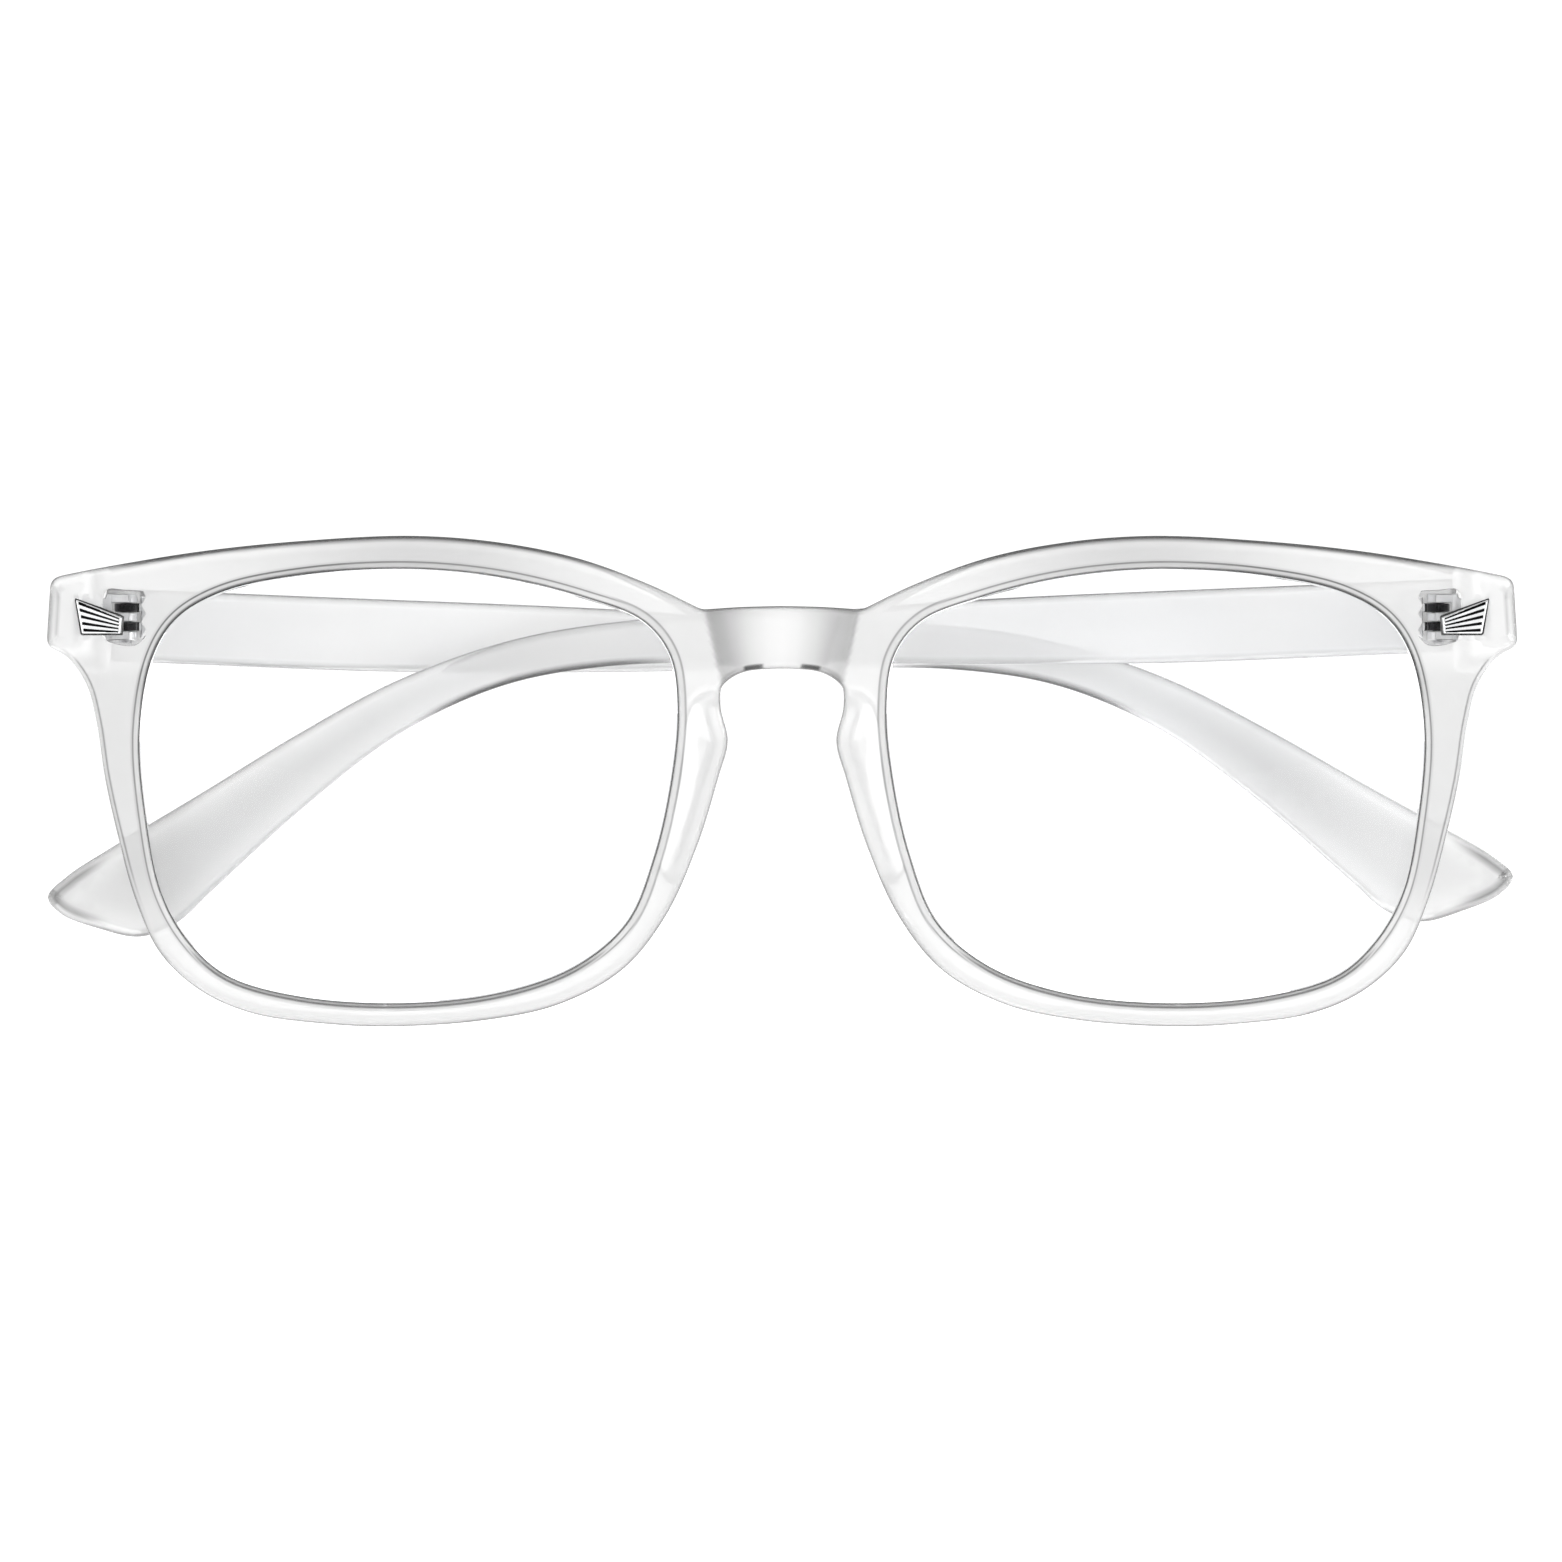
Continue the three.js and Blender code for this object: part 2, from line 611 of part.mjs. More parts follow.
// The temple's side outline: distance from the hinge, and height above the hinge's middle.
function templeOutline() {
  const edge = smooth([
    [10, 2.75], [46, 1.2], [57, 0.4], [66, 0.1], [80, -0.75], [90, -2.5], [100.3, -6.1], [109.5, -10.9],
    [119.2, -16.6], [127.3, -21.25], [131.8, -24.0], [133.75, -26.0], [132.5, -27.65],
    [128.8, -29.2], [124.8, -30.1], [121.3, -28.9], [117.9, -25.9], [109.5, -18.4],
    [99.8, -11.1], [90, -6.7], [80, -4.95], [66, -4.7], [46, -4.95], [25, -4.85], [3, -4.0],
  ], TEMPLE_STEPS);
  return [new THREE.Vector2(-OVERCUT, 3.3), ...edge, new THREE.Vector2(-OVERCUT, -3.8)];
}

// The same temple seen from above: distance from the hinge, and distance outwards.
function templePlan() {
  const butt = (outwards) => -ROOT_END + outwards * Math.tan(OPEN_SPLAY);
  const flare = smooth([
    [ARM_STRAIGHT_START, TEMPLE_OUTER], [19, 5.2], [11, 6.4], [4, TEMPLE_ROOT_OUTER],
  ], 6);
  return [
    ...corners([
      [butt(TEMPLE_INNER), TEMPLE_INNER], [140, TEMPLE_INNER], [140, TEMPLE_TIP_OUTER],
      [ARM_STRAIGHT_END, TEMPLE_OUTER],
    ]),
    ...flare,
    ...corners([[butt(TEMPLE_ROOT_OUTER), TEMPLE_ROOT_OUTER]]),
  ];
}

function temple(side) {
  const outline = templeOutline().map(({ x, y }) => {
    const shift = side * (ROOT_RISE - TAIL_BEND * (x / 100) ** 3);
    return new THREE.Vector2(-side * x, y + shift);
  });
  let arm = prismAlongY(outline, 0, 10);
  arm = arm.intersect(prismAlongZ(mirrored(templePlan(), -side), -40, 10));
  const neckFrom = 1.2;
  const neckTo = 3.0;
  const half = TEMPLE_ANCHOR_HALF + ANCHOR_GAP;
  const neck = box(-side * neckFrom, -side * neckTo, 0, TEMPLE_ANCHOR_INNER + 1, -half, half);
  const tab = mirrored(tabOutline(neckFrom, ANCHOR_GAP), -side);
  const cavityBack = TEMPLE_ANCHOR_INNER + LEAF_THICKNESS + ANCHOR_GAP;
  const cavity = prismAlongY(tab, TEMPLE_ANCHOR_INNER - ANCHOR_GAP, cavityBack);
  arm = arm.subtract(neck).subtract(cavity);
  return piece(`${sideName(side)}_temple`, arm, 'frame');
}

function foldedTemple(side) {
  const group = new THREE.Group();
  group.add(temple(side), templeLeaf(side));
  group.position.set(side * HINGE_X, HINGE_Y, HINGE_Z);
  group.rotation.z = FOLD_SKEW;
  return group;
}

// ---------- assembly ----------

const glasses = new THREE.Group();
glasses.add(frontFrame());
[LEFT, RIGHT].forEach((side) => {
  glasses.add(lens(side), cornerTrim(side), frontLeaf(side), hingeScrew(side));
  glasses.add(foldedTemple(side));
});

export default glasses;
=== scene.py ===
"""Blue light glasses with a clear moulded frame, folded: smooth pieces, materials, light and camera.

Lengths in the constants and outlines are millimetres in the frame's axes; meshes are built in metres.
+Z is up, the front looks along -Y, and +X is the wearer's left side.
"""

import math

import bmesh
import bpy
import numpy as np
from mathutils import Matrix, Vector
from mathutils.geometry import delaunay_2d_cdt


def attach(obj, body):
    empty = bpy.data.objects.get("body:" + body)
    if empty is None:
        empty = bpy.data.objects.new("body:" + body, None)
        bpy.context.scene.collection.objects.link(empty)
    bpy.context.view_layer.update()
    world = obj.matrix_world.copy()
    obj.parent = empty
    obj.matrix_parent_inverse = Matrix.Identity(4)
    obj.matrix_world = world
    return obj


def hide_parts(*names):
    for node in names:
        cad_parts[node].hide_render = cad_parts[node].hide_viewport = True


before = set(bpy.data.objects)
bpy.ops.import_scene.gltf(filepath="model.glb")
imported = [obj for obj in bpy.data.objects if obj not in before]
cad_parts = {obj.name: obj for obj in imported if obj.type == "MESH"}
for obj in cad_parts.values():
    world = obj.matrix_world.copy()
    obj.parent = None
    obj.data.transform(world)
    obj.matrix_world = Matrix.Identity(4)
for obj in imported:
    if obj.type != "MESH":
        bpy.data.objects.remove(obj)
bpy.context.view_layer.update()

MM = 0.001
LEFT, RIGHT = 1, -1
SIDE_NAMES = {LEFT: "left", RIGHT: "right"}

# Front
FRONT_Y = -11.3
FRONT_THICKNESS = 4.2
FACE_RADIUS = 420.0
LOOP_STEP = 0.3  # spacing of the points along an edge
FACE_STEP = 0.9  # spacing of the points inside a face
FINE_STEP = 0.35  # the same where the face is shaped
FACE_BOX = ((-72, -1), (72, 49))  # the boxes in X and Z that hold the points inside the faces
BRIDGE_BOX = ((-9.5, 30), (9.5, 41))
PAD_BOX = ((3, 12), (15, 34))
ENDPIECE_BOX = ((62, 31), (72, 46))
EDGE_FRONT = 0.6  # fillet of the outer edge on the front face
EDGE_BACK = 1.0
ARCH_SHARPER = 0.4  # how much smaller the back fillet is over the nose
SIDE_FILLET = 1.2  # fillet of the endpiece's front edge
RIM_FRONT = 0.35  # fillet of the lens opening on the front face
RIM_BACK = 0.45
SPLINE_STEPS = 24
FILLET_STEPS = 6
WALL_STEPS = 4
HOLD = 0.06  # width of the band that keeps a flat face flat beside its fillet
LOOP_CLEARANCE = 0.28  # from the points inside a face to its edge
ROW_CLEARANCE = 0.12
APERTURE_MIDDLE = np.array([35.9, 23.2])

# Bridge scoop and nose pads
SCOOP_DEPTH = 1.25
SCOOP_TOP_HALF = 7.5
SCOOP_BOTTOM_HALF = 6.1
BRIDGE_TOP = 40.45
ARCH_TOP = 34.45
SCOOP_ROUNDING = 0.05
SCOOP_BELOW = 2.0  # how far the scoop's painted shade runs on below the top of the arch
PAD_REACH = 3.0
PAD_FLARE = 0.45
PAD_SLOPE = 1.7  # width of the rounded flank of a nose pad

# Lenses
LENS_THICKNESS = 1.8
LENS_DOME = 1.2
LENS_GAP = 0.15
LENS_MIDDLE = 2.1
BEVEL_REACH = 0.45
BEVEL_HALF = 0.55
TIP_HALF = 0.12
GROOVE_REACH = 0.8
GROOVE_HALF = 0.84
GROOVE_FLOOR_HALF = 0.27
GROOVE = (  # reach into the rim, and depth behind the front
    (0, LENS_MIDDLE - GROOVE_HALF), (GROOVE_REACH, LENS_MIDDLE - GROOVE_FLOOR_HALF),
    (GROOVE_REACH, LENS_MIDDLE + GROOVE_FLOOR_HALF), (0, LENS_MIDDLE + GROOVE_HALF),
)

# Endpieces and hinges
ENDPIECE_INNER_X = 64.3  # where the step begins
ENDPIECE_BOTTOM = 33.8
ENDPIECE_BACK_Y = FRONT_Y + 11.4
ENDPIECE_STEP = 2.6  # width of the soft step behind the endpiece
LEAF_FRONT_Y = FRONT_Y + 8.4
POCKET_Y = LEAF_FRONT_Y - 0.3
POCKET_WALL = 0.1
MATT_WALL_X = 62.0  # the pocket's wall is matt past this X or above this Z
MATT_WALL_Z = 38.9
ZONE_MARGIN = 0.05  # clear of a flat face, so that the face itself isn't counted
WINDOW_INNER_X = 61.4  # the front is quite clear from here to the end of the pocket
HINGE = Vector((63.0, FRONT_Y + 13.4, 39.4))
HINGE_HEIGHT = 4.5
KNUCKLES = 5
KNUCKLE_GAP = 0.06
KNUCKLE_RADIUS = 1.1
BORE_RADIUS = 0.68
COUNTERBORE_RADIUS = 0.91
PIN_RADIUS = 0.6
SCREW_HEAD_RADIUS = 0.85
SCREW_HEAD_HEIGHT = 0.4
SCREW_TIP = 0.3
SCREW_SLOT_HALF = 0.12
SCREW_SLOT_DEPTH = 0.2
SLOT_WALL = 0.04
SCREW_CHAMFER = 0.12
LEAF_THICKNESS = 1.0
ANCHOR_START = 1.4  # from the hinge axis to the anchor in the endpiece
ANCHOR_END = 5.1
TEMPLE_NECK = (1.5, 2.7)  # between the knuckles and the anchor in the temple
TEMPLE_ANCHOR_INNER = 2.6
TEMPLE_ANCHOR_END = 3.9
TEMPLE_ANCHOR_HALF = 1.95
TEMPLE_ANCHOR_CORNER = 1.2
LEAF_BORE_CLEAR = 0.95  # the front leaf's fingers stop here, outside the counterbore
SHADE_PAINTED_END = 1.35  # the temple leaf is painted near-black up to here: painted shade in the gaps between the front leaf's fingers

# Temples
TEMPLE_INNER = 1.6
TEMPLE_ROOT_OUTER = 7.2
TEMPLE_OUTER = 4.9
TEMPLE_TIP_OUTER = 4.5
ROOT_END = 1.8
ARM_STRAIGHT_END = 92.0
TEMPLE_FILLET = 0.8
TAIL_FILLET = 1.3
ROOT_FILLET = 0.25
ROOT_SLANT = 3.0  # length of the slanted butt
FOLD_SKEW = math.radians(2)
OPEN_SPLAY = math.radians(2)
ROOT_RISE = 0.45
TAIL_BEND = 0.6

# Corner trims
TRIM_X = 65.9
TRIM_Z = 39.2
TRIM_THICKNESS = 0.9
TRIM_PROUD = 0.35
TRIM_GAP = 0.3
TRIM_MARGIN = 0.15
TRIM_BORDER = 0.22
TRIM_GROOVE_DEPTH = 0.35
TRIM_GROOVES = 5
TRIM_PINS = ((-1.1, -0.6), (1.0, -0.2))
TRIM_PIN_RADIUS = 0.45
TRIM_PIN_LENGTH = 1.2
TRIM_PIN_SUNK = 0.1  # how far a pin starts inside the trim
TRIM_TURN = math.atan(TRIM_X / FACE_RADIUS)
TRIM_WALL = 0.06  # width of the recess wall seen from the front
TRIM_STEP = 0.06
TRIM_BEVEL = 0.12
GROOVE_WIDE = 0.135
GROOVE_NARROW = 0.06
GROOVE_WALL = 0.03

# Painted light and shade on the plastic: lightness against distance from an edge
TONE_POWER = 3.1  # from the lightness wanted to the colour that gives it
FLAT_LIGHTNESS = 0.95
BROW_DIP = 0.07  # painted shade: how much darker the middle of each brow is
BROW_MIDDLE = 34.0
BROW_SPREAD = 12.0
RIM_DIP = 0.03  # painted shade: how much darker the outer side of each rim is
# Dark lines along the edges with light bands beside them: painted shade and painted highlights that stand
# in for the refraction at the edges of the clear plastic
BROW_LINE = (
    (0, 0.36), (0.08, 0.26), (0.17, 0.32), (0.27, 0.6), (0.4, 0.82), (0.56, 0.95), (0.7, 1),
)
BRIDGE_LINE = ((0, 0.25), (0.08, 0.3), (0.17, 0.72), (0.3, 0.97), (0.66, 1))
OUTER_LINE = ((0, 0.58), (0.06, 0.62), (0.12, 0.84), (0.3, 0.97), (0.56, 1))
SIDE_LINES = (
    (0, 0.66), (0.06, 0.7), (0.2, 0.92), (0.6, 0.97), (0.89, 0.86), (1.0, 0.9), (1.2, 1),
)
FLANK_LINES = (
    (0, 0.6), (0.08, 0.7), (0.17, 0.96), (0.3, 0.99), (0.44, 0.68), (0.6, 0.98), (0.66, 1),
)
SHOULDER_LINE = ((0, 0.88), (0.3, 0.97), (0.6, 1))
ARCH_DASHES = ((0, 0.9), (0.05, 0.5), (0.15, 0.35), (0.35, 0.35), (0.5, 0.55), (0.62, 1))
RIM_ROWS = (0.42, 0.5, 0.56, 0.63, 0.7, 0.77, 0.85, 0.93, 1.0)  # points here hold the rims' lines
RIM_LINES = (
    (0, 0.4), (0.09, 0.4), (0.16, 0.8), (0.25, 1.03), (0.56, 1.03), (0.63, 0.74), (0.7, 0.76),
    (0.77, 0.97), (1.0, 1),
)
CORNER_LINES = (
    (0, 0.2), (0.12, 0.3), (0.2, 0.6), (0.3, 0.94), (0.54, 1.0), (0.63, 0.6), (0.7, 0.66), (0.77, 0.95),
    (1.0, 1),
)
NOSE_LINES = (
    (0, 0.36), (0.09, 0.4), (0.16, 0.8), (0.25, 1.0), (0.63, 1.0), (0.77, 0.8), (0.85, 0.8), (0.93, 0.97),
    (1.0, 1),
)
BOTTOM_LINES = (
    (0, 0.42), (0.09, 0.48), (0.2, 0.84), (0.3, 0.86), (0.42, 0.5), (0.5, 0.7), (0.56, 0.94), (0.7, 1),
)
PAD_LIGHTNESS = 0.92  # painted shade on the matt flanks of the nose pads
RECESS_LIGHTNESS = 0.3  # painted shade in the recesses behind the trims, seen as a dark ring round each trim
BACK_LINES = 0.3  # how strongly the same painted lines show on the back
# Painted shade across the bridge's scoop, against the share of its half width: brightest along its
# middle, darkest just inside its two edges
SCOOP_SHADE = (
    (0, 1.0), (0.2, 0.99), (0.37, 0.96), (0.49, 0.93), (0.59, 0.89), (0.71, 0.83), (0.83, 0.77),
    (0.93, 0.74), (0.99, 0.79), (1.04, FLAT_LIGHTNESS),
)
TAIL_SHADE = 0.08  # painted shade: how much darker the middle of the bent end is
TAIL_SHADE_EDGE = 0.4  # the share of that which reaches its edge
TAIL_SHADE_DEPTH = 3.5
# Painted shade and highlight lines along the temples' edges
TEMPLE_TOP_LINE = ((0, 0.44), (0.08, 0.54), (0.2, 0.8), (0.4, 0.92), (0.8, 1))
TEMPLE_LOW_LINE = ((0, 0.8), (0.1, 0.84), (0.35, 0.9), (0.8, 1))
BEND_TOP_LINE = ((0, 0.72), (0.1, 0.8), (0.25, 0.94), (0.8, 1))
BEND_LOW_LINE = ((0, 0.94), (0.2, 0.97), (0.8, 1))
HEEL_LINE = ((0, 0.55), (0.12, 0.65), (0.35, 0.9), (0.8, 1))
NECK_LOW_LINE = ((0, 0.15), (0.1, 0.22), (0.25, 0.5), (0.5, 0.84), (0.8, 1))
TAIL_LINE = (
    (0, 0.78), (0.12, 0.84), (0.3, 0.95), (0.45, 0.82), (0.65, 0.7), (0.85, 0.76), (1.1, 0.88),
    (1.36, 0.96),
)

# Zones: each soft limit is a value's name, where the zone starts to rise from 0, and the width over
# which it rises to 1, negative where it falls instead. x is the distance from the middle of the
# front or from the hinge, z the height, and up the upward part of the edge's direction outwards.
SIDE_ZONE = (("x", 69.0, 1.2), ("z", 36.8, 1.0), ("z", 43.2, -2.0))
SHOULDER_ZONE = (("x", 64.5, 1.5), ("z", 37.2, -0.6))
ARCH_ZONE = (("x", 9, -2), ("z", 31, 1.5))
DASH_ZONE = (("up", -0.3, -0.4), ("x", 1.7, 0.4), ("x", 3.8, -0.4), *ARCH_ZONE)
BROW_ZONE = (("up", 0.3, 0.4), ("x", 11, 14), ("x", 68, -10))
BRIDGE_ZONE = (("up", 0.3, 0.4), ("x", 9, -2))
FLANK_ZONE = (("x", 60, 4), ("z", 8, 12), ("z", 36, -2))
CORNER_ZONE = (("x", 36, 12), ("z", 28, 8))
BOTTOM_ZONE = (("z", 9, -4),)
NOSE_ZONE = (("x", 18, -4), ("z", 8, 4))
BROW_DIP_ZONE = (("z", 40, 3),)
RIM_DIP_ZONE = (("x", 58, 4), ("z", 10, 6), ("z", 36, -3))
TEMPLE_TOP_ZONE = (("up", -0.6, 1.2),)
BENT_ZONE = (("x", 62, 20),)
NECK_ZONE = (("x", 70, 12), ("x", 100, -9))
HEEL_ZONE = (("x", 120, 3),)
TIP_ZONE = (("x", 127, 5),)
TAIL_SHADE_ZONE = (("x", 70, 40),)
TAIL_FILLET_ZONE = (("x", 112, 16),)
ROOT_FILLET_ZONE = (("x", 0.4, -1.5),)
# Where the painted lines of the outer edge and of the rims differ from their base profiles
OUTER_PLACES = (
    (BROW_ZONE, BROW_LINE), (BRIDGE_ZONE, BRIDGE_LINE), (FLANK_ZONE, FLANK_LINES),
    (DASH_ZONE, ARCH_DASHES), (SIDE_ZONE, SIDE_LINES), (SHOULDER_ZONE, SHOULDER_LINE),
)
RIM_PLACES = ((CORNER_ZONE, CORNER_LINES), (BOTTOM_ZONE, BOTTOM_LINES), (NOSE_ZONE, NOSE_LINES))

# Materials
PLASTIC_IOR = 1.49
WINDOW_IOR = 1.2
LENS_IOR = 1.12
MILKY = 0.5  # transmission of the front and the temples
# Grey of the matt plastic: darkened as painted shade, so that light through its rough faces doesn't show
# brighter than the milky front
MATT_GREY = 0.78
POLISHED = (0.02, 0.05)  # roughness
MATT = (0.55, 0.7)
NOISE_RANGE = (0.3, 0.7)  # the part of the noise that is spread between two values

# Light: directions are for the ring of panels round the table
PANELS = 8
PANEL_EDGE = (-0.5, 0.6)  # cosine of eight azimuths, at a panel's dim and bright edges
PANEL_TOP = (0.2, 0.38)  # sine of the elevation, at a panel's bright and dim edges
PANEL_LIGHT = 1.15
ROOM_LIGHT = 0.6
FLOOR_GLOW = 0.8
LIGHTS = (
    ("key_softbox", (1.9, -1.2, 0.7), 0.9, 20),
    ("fill_softbox", (-1.3, -1.9, 0.8), 1.2, 8),
    ("top_softbox", (0.0, 0.3, 2.0), 1.4, 5),
    ("back_softbox", (0.4, 2.2, 1.2), 1.2, 5),
)

# Camera
CAMERA_DISTANCE = 6000.0  # from the foremost line of the front
VIEW_WIDTH = 150.2  # seen at that line
VIEW_MIDDLE = (-0.1, 23.6)
CLIP_END = 60  # metres
FLOOR_HALF = 15  # metres
LIGHT_AIM = Vector((0, 0, 0.02))  # metres


# ---------- curves ----------


def spline(knots, closed=False):
    """A centripetal Catmull-Rom curve through the knots."""
    p = np.array(knots, float)
    count = len(p)
    spans = count if closed else count - 1
    share = (np.arange(SPLINE_STEPS) / SPLINE_STEPS)[:, None]
    pieces = []
    for i in range(spans):
        if closed:
            before, here, there, after = (p[(i + k) % count] for k in (-1, 0, 1, 2))
        else:
            here, there = p[i], p[i + 1]
            before = p[i - 1] if i > 0 else 2 * here - there
            after = p[i + 2] if i + 2 < count else 2 * there - here
        stretches = ((before, here), (here, there), (there, after))
        gap, mid, rest = (math.sqrt(np.linalg.norm(b - a)) for a, b in stretches)
        start = (here - before) / gap - (there - before) / (gap + mid) + (there - here) / mid
        end = (there - here) / mid - (after - here) / (mid + rest) + (after - there) / rest
        start *= mid
        end *= mid
        cubic = 2 * here - 2 * there + start + end
        square = -3 * here + 3 * there - 2 * start - end
        pieces.append(here + share * start + share**2 * square + share**3 * cubic)
    if not closed:
        pieces.append(p[-1:])
    return np.concatenate(pieces)


def signed_area(loop):
    x, z = loop.T
    return 0.5 * np.sum(x * np.roll(z, -1) - np.roll(x, -1) * z)


def even(points, step):
    """The same closed loop with points an even distance apart."""
    line = np.vstack([points, points[:1]])
    along = np.concatenate([[0], np.cumsum(np.linalg.norm(np.diff(line, axis=0), axis=1))])
    count = max(8, round(along[-1] / step))
    stations = np.linspace(0, along[-1], count + 1)[:-1]
    return np.stack([np.interp(stations, along, line[:, k]) for k in range(2)], axis=1)


def soften(loop, rounds):
    """Rounds off the corners of a closed, evenly spaced loop."""
    for _ in range(rounds):
        loop = 0.25 * np.roll(loop, 1, axis=0) + 0.5 * loop + 0.25 * np.roll(loop, -1, axis=0)
    return loop


def left_normals(loop):
    """Unit vectors to the left of travel round a closed loop."""
    along = np.roll(loop, -1, axis=0) - np.roll(loop, 1, axis=0)
    along /= np.linalg.norm(along, axis=1)[:, None]
    return np.stack([-along[:, 1], along[:, 0]], axis=1)


def wound(loop, anticlockwise):
    return loop if (signed_area(loop) > 0) == anticlockwise else loop[::-1].copy()


def mirrored(loop):
    return (loop * [-1, 1])[::-1].copy()


def depth_inside(points, polygon):
    """Distance from each point to the polygon's edge, positive inside."""
    start, end = polygon, np.roll(polygon, -1, axis=0)
    run = end - start
    best = np.full(len(points), np.inf)
    inside = np.zeros(len(points), bool)
    for a, d, b in zip(start, run, end):
        length = max(d @ d, 1e-12)
        share = np.clip(((points - a) @ d) / length, 0, 1)
        gap = points - a - share[:, None] * d
        best = np.minimum(best, np.einsum("ij,ij->i", gap, gap))
        crosses = (a[1] > points[:, 1]) != (b[1] > points[:, 1])
        if crosses.any() and d[1] != 0:
            at = a[0] + (points[:, 1] - a[1]) * d[0] / d[1]
            inside ^= crosses & (points[:, 0] < at)
    return np.where(inside, 1, -1) * np.sqrt(best)


def inside_corners(points, corners):
    """Distance inside the nearest side of a convex, anticlockwise polygon."""
    gaps = []
    for here, there in zip(corners, np.roll(corners, -1, axis=0)):
        along = (there - here) / np.linalg.norm(there - here)
        gaps.append((points - here) @ np.array([-along[1], along[0]]))
    return np.min(gaps, axis=0)


def ramp(value):
    """A smooth rise from 0 to 1."""
    t = np.clip(value, 0, 1)
    return t * t * t * (t * (6 * t - 15) + 10)


def at_depth(points, y):
    """2-D points in X and Z as 3-D ones at a depth."""
    return np.stack([points[:, 0], np.broadcast_to(y, len(points)), points[:, 1]], axis=1)


def belongs(zone, **values):
    """How far each place belongs to a zone, from 0 to 1."""
    share = 1.0
    for name, start, width in zone:
        share = share * ramp((values[name] - start) / width)
    return share


def profile(pairs):
    """Lightness against distance from an edge."""
    at, value = zip(*pairs)
    return lambda distance: np.interp(distance, at, value)


# ---------- meshes ----------


class Shape:
    """Collects points and faces, with rows of points joined into bands.

    Each point has a tone, its painted light and shade: from 1 where the surface has its full colour down
    to 0 where it is painted black.
    """

    def __init__(self):
        self.points = []
        self.tones = []
        self.faces = []

    def add(self, points, lightness=1.0):
        start = len(self.points)
        self.points.extend(np.array(point, float) for point in points)
        self.tones.extend(np.broadcast_to(lightness, len(points)) ** TONE_POWER)
        return np.arange(start, len(self.points))

    def band(self, first, second):
        for i in range(len(first)):
            k = (i + 1) % len(first)
            self.faces.append((first[i], first[k], second[k], second[i]))

    def bands(self, rows):
        for first, second in zip(rows, rows[1:]):
            self.band(first, second)

    def cap(self, row):
        self.faces.append(tuple(row))

    def fan(self, row, middle):
        top = self.add([middle])[0]
        self.faces.extend((row[i], row[(i + 1) % len(row)], top) for i in range(len(row)))

    def join(self, other, move=None):
        points = np.array(other.points)
        shift = len(self.points)
        self.points.extend(points if move is None else move(points))
        self.tones.extend(other.tones)
        self.faces.extend(tuple(int(i) + shift for i in face) for face in other.faces)


def make_object(name, shape, materials, sharp=35):
    """A smooth-shaded mesh in metres from a shape in millimetres; edges past the angle stay sharp."""
    mesh = bpy.data.meshes.new(name)
    points = [tuple(p) for p in np.array(shape.points) * MM]
    mesh.from_pydata(points, [], [tuple(int(i) for i in face) for face in shape.faces])
    # The tone attribute carries the painted light and shade into the plastic's colour
    mesh.attributes.new("tone", "FLOAT", "POINT").data.foreach_set("value", np.array(shape.tones))
    obj = bpy.data.objects.new(name, mesh)
    bpy.context.scene.collection.objects.link(obj)
    work = bmesh.new()
    work.from_mesh(mesh)
    bmesh.ops.recalc_face_normals(work, faces=work.faces)
    for edge in work.edges:
        edge.smooth = len(edge.link_faces) == 2 and edge.calc_face_angle(0) < math.radians(sharp)
    for face in work.faces:
        face.smooth = True
    work.to_mesh(mesh)
    work.free()
    for material in materials:
        mesh.materials.append(material)
    return obj


def paint(obj, zone):
    """Shares out the mesh's materials; zone turns the polygons' middles in mm into indices."""
    polygons = obj.data.polygons
    middles = np.empty(len(polygons) * 3)
    polygons.foreach_get("center", middles)
    polygons.foreach_set("material_index", zone(*(middles.reshape(-1, 3) / MM).T).astype(int))


def set_down(obj, place, mirrored_in_x):
    """Moves a mesh that was built about its own origin to its place."""
    mesh = obj.data
    if mirrored_in_x:
        mesh.transform(Matrix.Diagonal((-1, 1, 1, 1)))
        mesh.flip_normals()
    mesh.transform(place)


def at_hinge(side):
    return Matrix.Translation(Vector((side * HINGE.x, HINGE.y, HINGE.z)) * MM)


def mount_piece(obj, body, node):
    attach(obj, body)
    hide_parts(node)


def fill(loops, rows, spots, region):
    """Triangles over the region between closed loops of 2-D points, through extra spots.

    rows are further closed loops that the triangles follow. Returns all points in the order
    loops, rows, spots, crossings, and the triangles that lie in the region.
    """
    coords, edges = [], []
    for loop in [*loops, *rows]:
        start = len(coords)
        coords.extend(loop)
        edges.extend((start + i, start + (i + 1) % len(loop)) for i in range(len(loop)))
    coords.extend(spots)
    corners = [Vector(c) for c in coords]
    verts, _, faces, origins, _, _ = delaunay_2d_cdt(corners, edges, [], 0, 1e-7, True)
    source = []
    for vert, found in zip(verts, origins):
        if found:
            source.append(found[0])
        else:
            source.append(len(coords))
            coords.append(np.array(vert))
    coords = np.array(coords)
    triangles = np.array([[source[i] for i in face] for face in faces])
    return coords, triangles[region(coords[triangles].mean(axis=1))]


def grid(low, high, step):
    """A triangular grid of points over a box."""
    points = []
    for k, z in enumerate(np.arange(low[1], high[1], step * 0.87)):
        x = np.arange(low[0] + (k % 2) * step / 2, high[0], step)
        points.append(np.stack([x, np.full(len(x), z)], axis=1))
    return np.concatenate(points)


def clear_of(points, loops, gap):
    """The points that are more than gap from every loop point."""
    keep = np.ones(len(points), bool)
    for loop in loops:
        for part in np.array_split(np.arange(len(points)), 20):
            away = np.linalg.norm(points[part][:, None] - loop[None], axis=2).min(axis=1)
            keep[part] &= away > gap
    return points[keep]


def even_shade(points, face):
    return np.ones(len(points))


